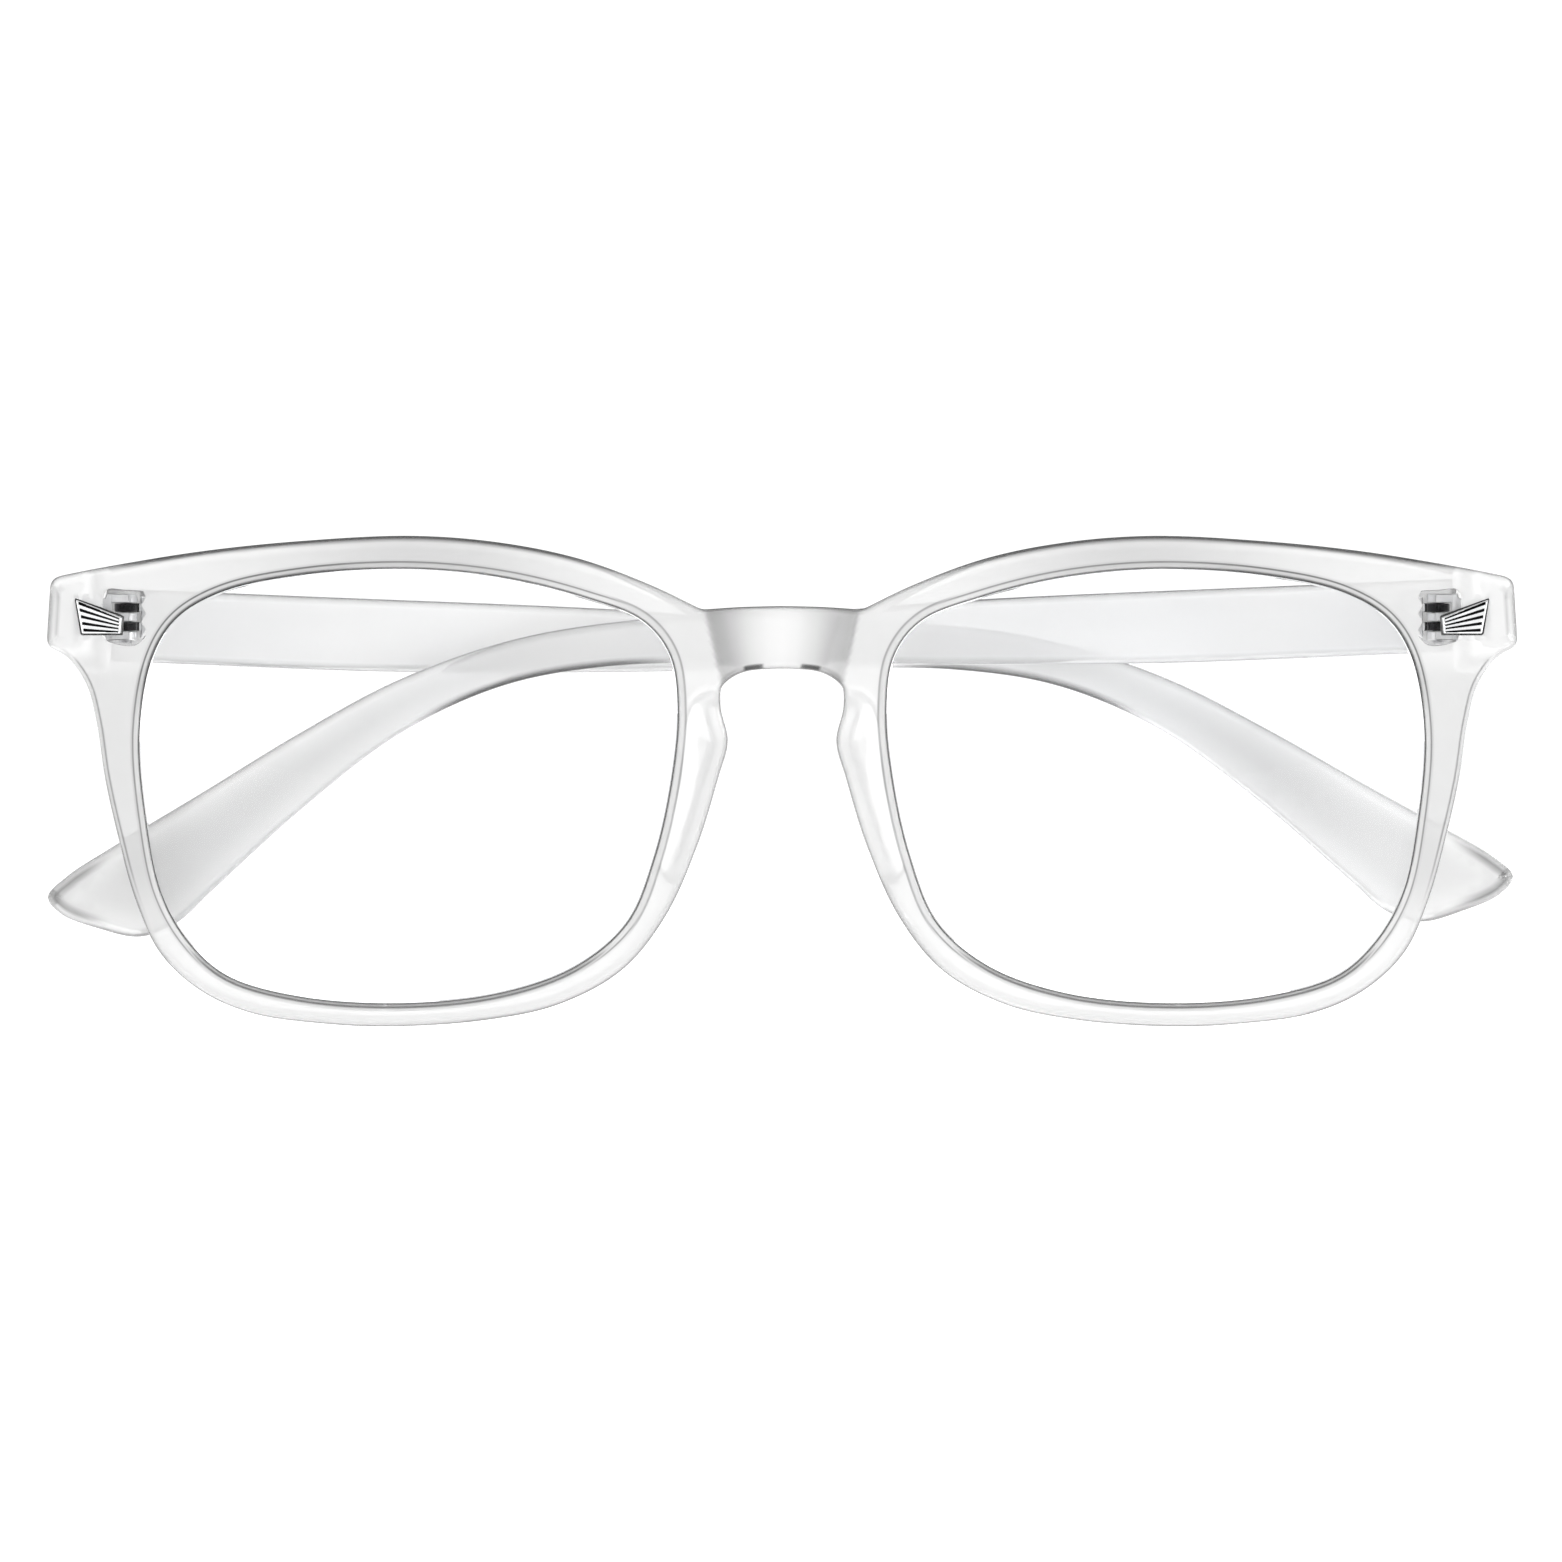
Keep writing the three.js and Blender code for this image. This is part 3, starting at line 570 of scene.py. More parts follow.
def add_fillet(shape, edge, face, surface, shade, scale):
    """Bands from an edge's wall over its fillet and on to the flat face.

    Returns the first row, the last row, and the outline of the last row.
    """
    loop = edge["loop"]
    inwards = left_normals(loop)
    tone = edge.get("tone", lambda distance, face: 1.0)
    sign = 1 if face == "front" else -1
    radius = np.broadcast_to(edge[face], len(loop))
    rows = []
    for angle in 0.5 * math.pi * np.arange(FILLET_STEPS + 1) / FILLET_STEPS:
        distance = radius * (1 - math.cos(angle))
        flat = loop + inwards * distance[:, None]
        solid = surface(flat)
        solid[:, 1] += sign * radius * (1 - math.sin(angle))
        rows.append(shape.add(solid, tone(distance, face) * shade(flat, face)))
    last = radius
    for line in (0, *edge.get("lines", ())):
        last = np.maximum(last + HOLD * scale, line)
        flat = loop + inwards * last[:, None]
        rows.append(shape.add(surface(flat), tone(last, face) * shade(flat, face)))
    shape.bands(rows)
    return rows[0], rows[-1], flat


def add_wall(shape, edge, front, near_row, far_row, shade):
    """Bands from an edge's front fillet to its back one, along its wall's profile if it has one."""
    loop = edge["loop"]
    if "wall" in edge:
        inwards = left_normals(loop)
        between = [front(loop + inwards * reach) + [0, depth, 0] for reach, depth in edge["wall"]]
    else:
        near = np.array([shape.points[i] for i in near_row])
        far = np.array([shape.points[i] for i in far_row])
        between = [near + (far - near) * k / WALL_STEPS for k in range(1, WALL_STEPS)]
    rows = [near_row, *(shape.add(points, shade(loop, "wall")) for points in between), far_row]
    shape.bands(rows)


def add_face(shape, face, surface, holds, spots, rows, shade, scale):
    """Triangles over the flat of a face, inside its first outline and outside the others."""
    loops = [flat for flat, _ in holds]

    def region(points):
        inside = depth_inside(points, loops[0]) > 0
        for hole in loops[1:]:
            inside &= depth_inside(points, hole) < 0
        return inside

    kept = clear_of(spots[region(spots)], loops, LOOP_CLEARANCE * scale)
    kept = clear_of(kept, rows, ROW_CLEARANCE * scale)
    coords, triangles = fill(loops, rows, kept, region)
    known = np.concatenate([ids for _, ids in holds])
    flat = coords[len(known):]
    ids = np.concatenate([known, shape.add(surface(flat), shade(flat, face))])
    shape.faces.extend(tuple(ids[triangle]) for triangle in triangles)


def plate(
    edges, front, back, front_spots, back_spots, front_rows=(), back_rows=(), scale=1.0, shade=even_shade,
):
    """A thick plate in the XZ plane with filleted edges.

    edges: dicts with loop (material to the left), front and back fillet radii (one value, or one
    for each point), and where wanted wall, pairs of (reach into the material, depth behind the
    front), lines, further distances from the edge that get a row of points, and tone, which turns
    a distance from the edge and the face's name into the painted lightness of each loop point.
    front and back turn 2-D points into 3-D ones on each face; shade gives the painted lightness of
    2-D points on the front, the back or a wall; scale shrinks the spacings.
    """
    shape = Shape()
    holds = {"front": [], "back": []}
    for edge in edges:
        rims = []
        for face, surface in (("front", front), ("back", back)):
            rim, last, flat = add_fillet(shape, edge, face, surface, shade, scale)
            rims.append(rim)
            holds[face].append((flat, last))
        add_wall(shape, edge, front, *rims, shade)
    add_face(shape, "front", front, holds["front"], front_spots, front_rows, shade, scale)
    add_face(shape, "back", back, holds["back"], back_spots, back_rows, shade, scale)
    return shape


def bevelled(outline, near_y, far_y, bevel=0.07):
    """A prism along Y with its long edges bevelled; outline is anticlockwise corners in X and Z."""
    corner = np.array(outline, float)
    forward = np.roll(corner, -1, axis=0) - corner
    forward /= np.linalg.norm(forward, axis=1)[:, None]
    normal = np.stack([-forward[:, 1], forward[:, 0]], axis=1)
    mitre = normal + np.roll(normal, 1, axis=0)
    mitre /= np.maximum(np.einsum("ij,ij->i", mitre, mitre) / 2, 0.3)[:, None]
    shape = Shape()
    rows = []
    for inset, y in ((bevel, near_y), (0, near_y + bevel), (0, far_y - bevel), (bevel, far_y)):
        rows.append(shape.add(at_depth(corner + mitre * inset, y)))
    shape.bands(rows)
    shape.cap(rows[0][::-1])
    shape.cap(rows[-1])
    return shape


def bevelled_box(x, y, z):
    outline = [(x[0], z[0]), (x[1], z[0]), (x[1], z[1]), (x[0], z[1])]
    return bevelled(outline, y[0], y[1])


def turned(outline, steps=48, loop=False):
    """A solid of revolution about Z from (radius, height) pairs; a loop goes round a bore."""
    shape = Shape()
    angle = np.arange(steps) * 2 * math.pi / steps
    across = np.stack([np.cos(angle), np.sin(angle), np.zeros(steps)], axis=1)
    rows = [shape.add(across * radius + [0, 0, height]) for radius, height in outline]
    if loop:
        rows.append(rows[0])
    shape.bands(rows)
    if not loop:
        shape.fan(rows[0], (0, 0, outline[0][1]))
        shape.fan(rows[-1], (0, 0, outline[-1][1]))
    return shape


# ---------- the front frame ----------


def wrap(x):
    """How far the wrapped front lies behind its middle."""
    return x * x / (2 * FACE_RADIUS)


def half_outline():
    bridge = spline([(0, BRIDGE_TOP), (4, 40.35), (7.7, 40.1)])
    brow = spline([
        (7.7, 40.1), (12.7, 42.5), (19.5, 45.0), (27.1, 46.55), (35.5, 47.2), (46.3, 46.7),
        (56.0, 45.7), (65.5, 44.15), (69.3, 43.4),
    ])
    side = np.array([(70.0, 43.2), (70.45, 42.65), (70.8, 37.0)])
    rim = spline([
        (70.55, 36.5), (68.9, 35.6), (67.0, 33.0), (66.0, 29.3), (65.2, 24.0), (64.0, 18.6), (62.2, 12.1),
        (59.9, 7.1), (56.0, 3.45), (51.0, 1.25), (44.0, 0.25), (37.5, 0), (28.5, 0.6), (21.5, 2.1),
        (15.4, 5.4), (11.2, 10.6), (8.1, 17.5), (6.1, 24.0), (5.2, 27.4), (5.9, 30.6), (5.9, 32.6),
    ])
    arch = spline([(5.9, 32.6), (5.05, 33.4), (3.6, 34.1), (0, ARCH_TOP)])
    half = np.concatenate([bridge, brow[1:], side, rim, arch[1:]])
    half[:, 1] = np.maximum(half[:, 1], 0)
    return half


def front_loop():
    half = half_outline()
    whole = np.concatenate([half, (half * [-1, 1])[::-1][1:-1]])
    return wound(soften(even(whole, LOOP_STEP), 2), True)


def aperture_loop(side):
    knots = [
        (36.0, 44.0), (46.3, 43.4), (54.0, 41.75), (58.25, 39.25), (60.5, 35.7), (61.8, 28.5),
        (61.2, 20.0), (59.7, 12.75), (57.0, 8.05), (53.4, 4.9), (46.5, 2.9), (36.7, 2.25),
        (27.1, 3.25), (19.8, 5.85), (14.9, 10.05), (12.3, 16.35), (10.65, 23.8), (10.05, 30.4),
        (10.8, 35.7), (13.4, 39.0), (19.05, 41.25), (27.1, 43.2),
    ]
    loop = wound(soften(even(spline(knots, True), LOOP_STEP), 2), False)
    return loop if side == LEFT else mirrored(loop)


def fan_outline(margin):
    """The corner trim's outline in its own frame, X outwards."""
    return np.array([
        (-2.3 - margin, -1.4 - margin), (1.45 + margin, -1.4 - margin),
        (2.05 + margin, 1.85 + margin), (-2.45 - margin, 0.15 + margin),
    ])


def trim_on_front(margin, side):
    flat = fan_outline(margin) * [math.cos(TRIM_TURN), 1] + [TRIM_X, TRIM_Z]
    return flat * [side, 1]


def scoop_half(z):
    """Half the width of the scoop at a height."""
    slope = (SCOOP_TOP_HALF - SCOOP_BOTTOM_HALF) / (BRIDGE_TOP - ARCH_TOP)
    return SCOOP_TOP_HALF + (z - BRIDGE_TOP) * slope


def scoop(points):
    """Depth of the concave scoop across the bridge, with its two edges slightly rounded."""
    x, z = points.T
    depth = 1 - (x / scoop_half(z)) ** 2
    return SCOOP_DEPTH * (depth + np.sqrt(depth**2 + SCOOP_ROUNDING**2)) / 2


def inside_trim(points, side):
    """Distance inside the recess that holds a trim."""
    return inside_corners(points, wound(trim_on_front(TRIM_MARGIN, side), True))


def inside_block(x, z):
    """Distance inside the thick block of an endpiece."""
    return np.minimum(x - ENDPIECE_INNER_X, z - ENDPIECE_BOTTOM)


def front_face(points):
    y = FRONT_Y + wrap(points[:, 0]) + scoop(points)
    recess = TRIM_THICKNESS - TRIM_PROUD + TRIM_GAP
    for side in (LEFT, RIGHT):
        y += recess * ramp(inside_trim(points, side) / TRIM_WALL + 0.5)
    return at_depth(points, y)


def pad_outline():
    """Each nose pad, continued past the rim on the nose side."""
    return even(spline([
        (3.6, 27.4), (4.2, 30.6), (5.9, 32.4), (8.0, 32.2), (9.5, 28.8), (9.9, 24.0), (11.2, 18.8),
        (12.0, 16.2), (10.9, 13.6), (8.2, 13.8), (6.2, 17.2), (4.4, 24.0),
    ], True), LOOP_STEP)


def pocket_outline(side):
    """The recess behind the front in which the knuckles turn."""
    loop = wound(even(spline([
        (61.2, 37.6), (60.7, 39.2), (59.5, 40.2), (59.8, 41.4), (60.9, 41.8), (63.2, 42.0), (65.0, 42.0),
        (65.4, 40.0), (65.3, 37.4), (63.8, 36.7), (62.1, 36.7),
    ], True), LOOP_STEP), True)
    return loop if side == LEFT else mirrored(loop)


def back_face(points):
    x, z = points.T
    flat = np.stack([np.abs(x), z], axis=1)
    y = FRONT_Y + FRONT_THICKNESS + wrap(x)
    y += (ENDPIECE_BACK_Y - y) * ramp(inside_block(*flat.T) / ENDPIECE_STEP)
    hollow = ramp(depth_inside(flat, pocket_outline(LEFT)) / POCKET_WALL + 0.5)
    y += (np.minimum(y, POCKET_Y) - y) * hollow
    reach = PAD_REACH * ramp(depth_inside(flat, pad_outline()) / PAD_SLOPE)
    return np.stack([x + np.sign(x) * PAD_FLARE * reach, y + reach, z], axis=1)


def front_shade(points, face):
    """Painted shade: brows and the rims' outer sides a little darker, pad flanks and trim recesses
    darker; the scoop brightest along its middle, darkest inside its two edges.
    """
    x, z = np.abs(points[:, 0]), points[:, 1]
    brow = np.exp(-(((x - BROW_MIDDLE) / BROW_SPREAD) ** 2)) * belongs(BROW_DIP_ZONE, z=z)
    lightness = FLAT_LIGHTNESS - BROW_DIP * brow - RIM_DIP * belongs(RIM_DIP_ZONE, x=x, z=z)
    # On the back: painted shade on the matt flanks of the nose pads
    if face != "front":
        flank = depth_inside(np.stack([x, z], axis=1), pad_outline())
        return np.where((flank > 0) & (flank < PAD_SLOPE), PAD_LIGHTNESS, lightness)
    # Painted shade in the recesses behind the trims
    for side in (LEFT, RIGHT):
        lightness = np.where(inside_trim(points, side) > 0, RECESS_LIGHTNESS, lightness)
    # Painted shade across the scoop
    share = x / scoop_half(z)
    in_scoop = (share < SCOOP_SHADE[-1][0]) & (z > ARCH_TOP - SCOOP_BELOW)
    return np.where(in_scoop, profile(SCOOP_SHADE)(share), lightness)


def edge_tone(loop, base, places):
    """The painted lightness of a moulded edge, dark lines and light bands that stand in for its
    refraction: a base profile, and in some zones their own.

    The same lines show more faintly on the back.
    """
    here = {"x": np.abs(loop[:, 0]), "z": loop[:, 1], "up": -left_normals(loop)[:, 1]}
    everywhere = profile(base)
    shares = [(belongs(zone, **here), profile(line)) for zone, line in places]

    def tone(distance, face):
        full = thin = everywhere(distance)
        for share, lightness in shares:
            full = full + share * (lightness(distance) - thin)
        return full if face == "front" else 1 - BACK_LINES * (1 - full)

    return tone


def outer_edge():
    loop = front_loop()
    here = {"x": np.abs(loop[:, 0]), "z": loop[:, 1]}
    return {
        "loop": loop,
        "front": EDGE_FRONT + (SIDE_FILLET - EDGE_FRONT) * belongs(SIDE_ZONE, **here),
        "back": EDGE_BACK - ARCH_SHARPER * belongs(ARCH_ZONE, **here),
        "tone": edge_tone(loop, OUTER_LINE, OUTER_PLACES),
    }


def rim_edge(side):
    """The edge of a lens opening, with the lens's groove in its wall."""
    loop = aperture_loop(side)
    return {
        "loop": loop,
        "front": RIM_FRONT,
        "back": RIM_BACK,
        "wall": GROOVE,
        "lines": RIM_ROWS,
        "tone": edge_tone(loop, RIM_LINES, RIM_PLACES),
    }


def front_spots():
    """Points inside the front face, closer together on the bridge."""
    coarse = grid(*FACE_BOX, FACE_STEP)
    beside = np.abs(coarse[:, 0]) > BRIDGE_BOX[1][0]
    return np.concatenate([coarse[beside], grid(*BRIDGE_BOX, FINE_STEP)])


def back_spots():
    """Points inside the back face, closer together on the nose pads and the endpieces."""
    coarse = grid(*FACE_BOX, FACE_STEP)
    flat = np.abs(coarse[:, 0]), coarse[:, 1]
    away = np.ones(len(coarse), bool)
    spots = []
    for low, high in (PAD_BOX, ENDPIECE_BOX):
        across, upwards = ((flat[k] > low[k]) & (flat[k] < high[k]) for k in range(2))
        away &= ~(across & upwards)
        fine = grid(low, high, FINE_STEP)
        spots += [fine, fine * [-1, 1]]
    return np.concatenate([*spots, coarse[away]])


def front_rows():
    """Lines that the front's triangles follow: the trims' recesses and the pockets behind."""
    rows = [
        even(trim_on_front(TRIM_MARGIN + margin, side), LOOP_STEP)
        for side in (LEFT, RIGHT) for margin in (TRIM_WALL / 2, -TRIM_WALL / 2)
    ]
    return rows + [pocket_outline(side) for side in (LEFT, RIGHT)]


def back_rows():
    """Lines that the back's triangles follow: the two sides of the pockets' walls."""
    rows = []
    for side in (LEFT, RIGHT):
        pocket = pocket_outline(side)
        inwards = left_normals(pocket)
        rows += [pocket + inwards * share * POCKET_WALL for share in (-0.5, 0.5)]
    return rows


def front_zone(x, y, z):
    """Which plastic: 0 milky; 1 clear, over the knuckles; 2 matt, on steps, flanks and walls."""
    flat = np.stack([np.abs(x), z], axis=1)
    block = inside_block(*flat.T)
    flank = depth_inside(flat, pad_outline())
    hollow = depth_inside(flat, pocket_outline(LEFT))
    behind = y > FRONT_Y + wrap(x) + FRONT_THICKNESS + ZONE_MARGIN
    stepped = (block > 0) & (block < ENDPIECE_STEP)
    flanked = (flank > 0) & (flank < PAD_SLOPE)
    walled = (y > POCKET_Y + ZONE_MARGIN) & (np.abs(hollow) < 0.6 * POCKET_WALL)
    walled &= (z > MATT_WALL_Z) | (flat[:, 0] > MATT_WALL_X)
    matted = (behind & (stepped | flanked)) | walled
    seen_through = (hollow > 0) & (flat[:, 0] > WINDOW_INNER_X)
    return np.where(matted, 2, np.where(seen_through, 1, 0))


def build_front(milky, clear, matt):
    edges = [outer_edge(), rim_edge(LEFT), rim_edge(RIGHT)]
    shape = plate(
        edges, front_face, back_face, front_spots(), back_spots(), front_rows(), back_rows(),
        shade=front_shade,
    )
    front = make_object("front_frame_smooth", shape, [milky, clear, matt])
    paint(front, front_zone)
    mount_piece(front, "front", "front_frame")


# ---------- lenses ----------


def build_lens(side, coated):
    loop = wound(aperture_loop(LEFT), True)
    outwards = -left_normals(loop)
    half = LENS_THICKNESS / 2
    shape = Shape()

    def place(flat, depth):
        return at_depth(flat * [side, 1], FRONT_Y + wrap(flat[:, 0]) + depth)

    wall = loop - outwards * LENS_GAP
    tip = loop + outwards * BEVEL_REACH
    shares = np.sin(np.linspace(0.04, 0.5, 26) * math.pi)

    def face(offset):
        rows = []
        for share in shares:
            flat = APERTURE_MIDDLE + (wall - APERTURE_MIDDLE) * share
            rows.append(shape.add(place(flat, LENS_MIDDLE + offset - LENS_DOME * (1 - share**2))))
        return rows

    edge = ((wall, -BEVEL_HALF), (tip, -TIP_HALF), (tip, TIP_HALF), (wall, BEVEL_HALF))
    rows = face(-half)
    rows += [shape.add(place(flat, LENS_MIDDLE + offset)) for flat, offset in edge]
    rows += reversed(face(half))
    shape.bands(rows)
    for ring, offset in ((rows[0], -half), (rows[-1], half)):
        shape.fan(ring, place(APERTURE_MIDDLE[None], LENS_MIDDLE + offset - LENS_DOME)[0])
    lens = make_object(f"{SIDE_NAMES[side]}_lens_smooth", shape, [coated], sharp=30)
    mount_piece(lens, "front", f"{SIDE_NAMES[side]}_lens")


# ---------- temples ----------


def temple_loop(side):
    """The temple's side outline: distance from the hinge, and height above the hinge's middle."""
    edge = spline([
        (10, 2.75), (46, 1.2), (57, 0.4), (66, 0.1), (80, -0.75), (90, -2.5), (100.3, -6.1),
        (109.5, -10.9), (119.2, -16.6), (127.3, -21.25), (131.8, -24.0), (133.75, -26.0),
        (132.5, -27.65), (128.8, -29.2), (124.8, -30.1), (121.3, -28.9), (117.9, -25.9),
        (109.5, -18.4), (99.8, -11.1), (90, -6.7), (80, -4.95), (66, -4.7), (46, -4.95),
        (25, -4.85), (3, -4.0),
    ])
    loop = even(np.concatenate([[(-ROOT_END, 3.25)], edge, [(-ROOT_END, -3.82)]]), LOOP_STEP)
    loop[:, 1] += side * (ROOT_RISE - TAIL_BEND * (np.maximum(loop[:, 0], 0) / 100) ** 3)
    return wound(soften(loop, 1), True)


def outer_face(u):
    """How far the temple's outer face lies from the hinge axis."""
    flare = spline([(26, TEMPLE_OUTER), (19, 5.2), (11, 6.4), (4, TEMPLE_ROOT_OUTER)])[::-1]
    at = np.concatenate([[-10, 3.9], flare[:, 0], [ARM_STRAIGHT_END, 140]])
    reach = np.concatenate([[TEMPLE_ROOT_OUTER] * 2, flare[:, 1], [TEMPLE_OUTER, TEMPLE_TIP_OUTER]])
    return np.interp(u, at, reach)


def on_hinge(obj, side):
    """Moves a mesh built around the hinge axis, with the temple along +X, to its folded place."""
    set_down(obj, at_hinge(side) @ Matrix.Rotation(FOLD_SKEW, 4, "Z"), side == LEFT)


def temple_tone(loop):
    """The painted lightness of a temple's edge, painted shade and highlight lines: above and below,
    straight and bent, and at its ends.
    """
    here = {"x": loop[:, 0], "up": -left_normals(loop)[:, 1]}
    above = belongs(TEMPLE_TOP_ZONE, **here)
    below = 1 - above
    bent = belongs(BENT_ZONE, **here)
    sides = (
        (above * (1 - bent), profile(TEMPLE_TOP_LINE)), (above * bent, profile(BEND_TOP_LINE)),
        (below * (1 - bent), profile(TEMPLE_LOW_LINE)), (below * bent, profile(BEND_LOW_LINE)),
    )
    ends = (
        (below * belongs(NECK_ZONE, **here), profile(NECK_LOW_LINE)),
        (below * belongs(HEEL_ZONE, **here), profile(HEEL_LINE)),
        (belongs(TIP_ZONE, **here), profile(TAIL_LINE)),
    )

    def tone(distance, face):
        edge = sum(share * lightness(distance) for share, lightness in sides)
        for share, lightness in ends:
            edge = edge + share * (lightness(distance) - edge)
        return edge

    return tone


def temple_shade(loop):
    """Painted shade: the bent end is a little darker, most of all along its middle."""
    coarse = loop[::8]

    def shade(points, face):
        middle = ramp(depth_inside(points, coarse) / TAIL_SHADE_DEPTH)
        depth = TAIL_SHADE_EDGE + (1 - TAIL_SHADE_EDGE) * middle
        return 1 - belongs(TAIL_SHADE_ZONE, x=points[:, 0]) * TAIL_SHADE * depth

    return shade


def build_temple(side, milky):
    """The plate's front is the temple's inner face, which looks at the lens when folded."""
    loop = temple_loop(side)

    def butt_slant(points, y):
        at_root = ramp(1 - (points[:, 0] + ROOT_END) / ROOT_SLANT)
        return at_depth(points, y) + (at_root * y * math.tan(OPEN_SPLAY))[:, None] * [1, 0, 0]

    def inner(points):
        return butt_slant(points, TEMPLE_INNER)

    def outer(points):
        return butt_slant(points, outer_face(points[:, 0]))

    u = loop[:, 0]
    radius = TEMPLE_FILLET + (TAIL_FILLET - TEMPLE_FILLET) * belongs(TAIL_FILLET_ZONE, x=u)
    radius -= (TEMPLE_FILLET - ROOT_FILLET) * belongs(ROOT_FILLET_ZONE, x=u)
    spots = grid((-2, -32), (136, 4), FACE_STEP)
    edge = {"loop": loop, "front": radius, "back": radius, "tone": temple_tone(loop)}
    shape = plate([edge], inner, outer, spots, spots, shade=temple_shade(loop))
    name = SIDE_NAMES[side]
    temple = make_object(f"{name}_temple_smooth", shape, [milky])
    on_hinge(temple, side)
    mount_piece(temple, f"{name}_arm", f"{name}_temple")


# ---------- hinges ----------


def knuckle_span(index):
    pitch = HINGE_HEIGHT / KNUCKLES
    low = pitch * index - HINGE_HEIGHT / 2
    return low + KNUCKLE_GAP / 2, low + pitch - KNUCKLE_GAP / 2


def knuckle(index, bore=BORE_RADIUS):
    low, high = knuckle_span(index)
    inner, outer = 0.04, 0.07  # the bevels of the bore and of the rim
    return turned([
        (bore, low + inner), (bore + inner, low), (KNUCKLE_RADIUS - outer, low),
        (KNUCKLE_RADIUS, low + outer), (KNUCKLE_RADIUS, high - outer), (KNUCKLE_RADIUS - outer, high),
        (bore + inner, high), (bore, high - inner),
    ], loop=True)


def serrated(from_x, to_x):
    """The moulded-in plate with three notches along each edge."""
    half = HINGE_HEIGHT / 2
    teeth, tooth = 3, 0.45
    pitch = (to_x - from_x) / (teeth + 0.5)
    upper = [(from_x, half)]
    for i in range(teeth):
        x = from_x + pitch * (i + 0.5)
        upper += [(x, half), (x + pitch * 0.15, half - tooth), (x + pitch * 0.45, half - tooth),
                  (x + pitch * 0.6, half)]
    upper.append((to_x, half))
    return [(x, -z) for x, z in upper] + upper[::-1]


def add_finger(shape, index, blocks, bore=BORE_RADIUS):
    """A knuckle and the blocks that carry it: X, Y, and how much lower each is than the knuckle."""
    low, high = knuckle_span(index)
    for x, y, lower in blocks:
        shape.join(bevelled_box(x, y, (low + lower, high - lower)))
    shape.join(knuckle(index, bore))


def build_front_leaf(side, steel):
    front_y = LEAF_FRONT_Y - HINGE.y
    back_y = front_y + LEAF_THICKNESS
    blocks = (
        ((-0.2, ANCHOR_START + 0.2), (front_y + 0.02, back_y - 0.02), 0),  # over the plate
        ((-0.17, 1.0), (front_y + 0.3, -LEAF_BORE_CLEAR), 0),  # from the plate to the knuckle
        ((0.62, 0.97), (-LEAF_BORE_CLEAR - 0.1, -0.72), 0.02),  # beside the bore
    )
    shape = bevelled(serrated(ANCHOR_START, ANCHOR_END), front_y, back_y)
    for index in (0, 2, 4):
        add_finger(shape, index, blocks, COUNTERBORE_RADIUS if index == 4 else BORE_RADIUS)
    name = SIDE_NAMES[side]
    leaf = make_object(f"{name}_front_leaf_smooth", shape, [steel])
    set_down(leaf, at_hinge(side), side == RIGHT)
    mount_piece(leaf, "front", f"{name}_front_hinge_leaf")


def build_temple_leaf(side, steel, dark):
    half, corner = TEMPLE_ANCHOR_HALF, TEMPLE_ANCHOR_CORNER
    near, far = TEMPLE_ANCHOR_INNER, TEMPLE_ANCHOR_INNER + LEAF_THICKNESS
    neck_from, neck_to = TEMPLE_NECK
    arc = []
    for turn in np.radians(np.linspace(-90, 90, 13)):
        z = math.copysign(half - corner, turn) + corner * math.sin(turn)
        arc.append((TEMPLE_ANCHOR_END - corner + corner * math.cos(turn), z))
    shape = bevelled([(neck_from, -half), *arc, (neck_from, half)], near, far)
    shape.join(bevelled_box(TEMPLE_NECK, (0.2, far), (-half, half)))
    blocks = (
        ((0, SHADE_PAINTED_END), (BORE_RADIUS + 0.04, 1.0), 0),  # outside the bore
        ((BORE_RADIUS + 0.07, SHADE_PAINTED_END), (0.2, 0.96), 0.02),  # beside the bore
        ((SHADE_PAINTED_END - 0.2, neck_to), (0.23, 0.97), 0.03),  # into the neck
    )
    for index in (1, 3):
        add_finger(shape, index, blocks)
    name = SIDE_NAMES[side]
    leaf = make_object(f"{name}_temple_leaf_smooth", shape, [steel, dark])
    # The knuckles and the blocks beside them take the near-black steel, painted shade for the gaps
    # between the front leaf's fingers
    paint(leaf, lambda x, y, z: (x < SHADE_PAINTED_END + 0.02) & (y < TEMPLE_ANCHOR_INNER))
    on_hinge(leaf, side)
    mount_piece(leaf, f"{name}_arm", f"{name}_temple_hinge_leaf")


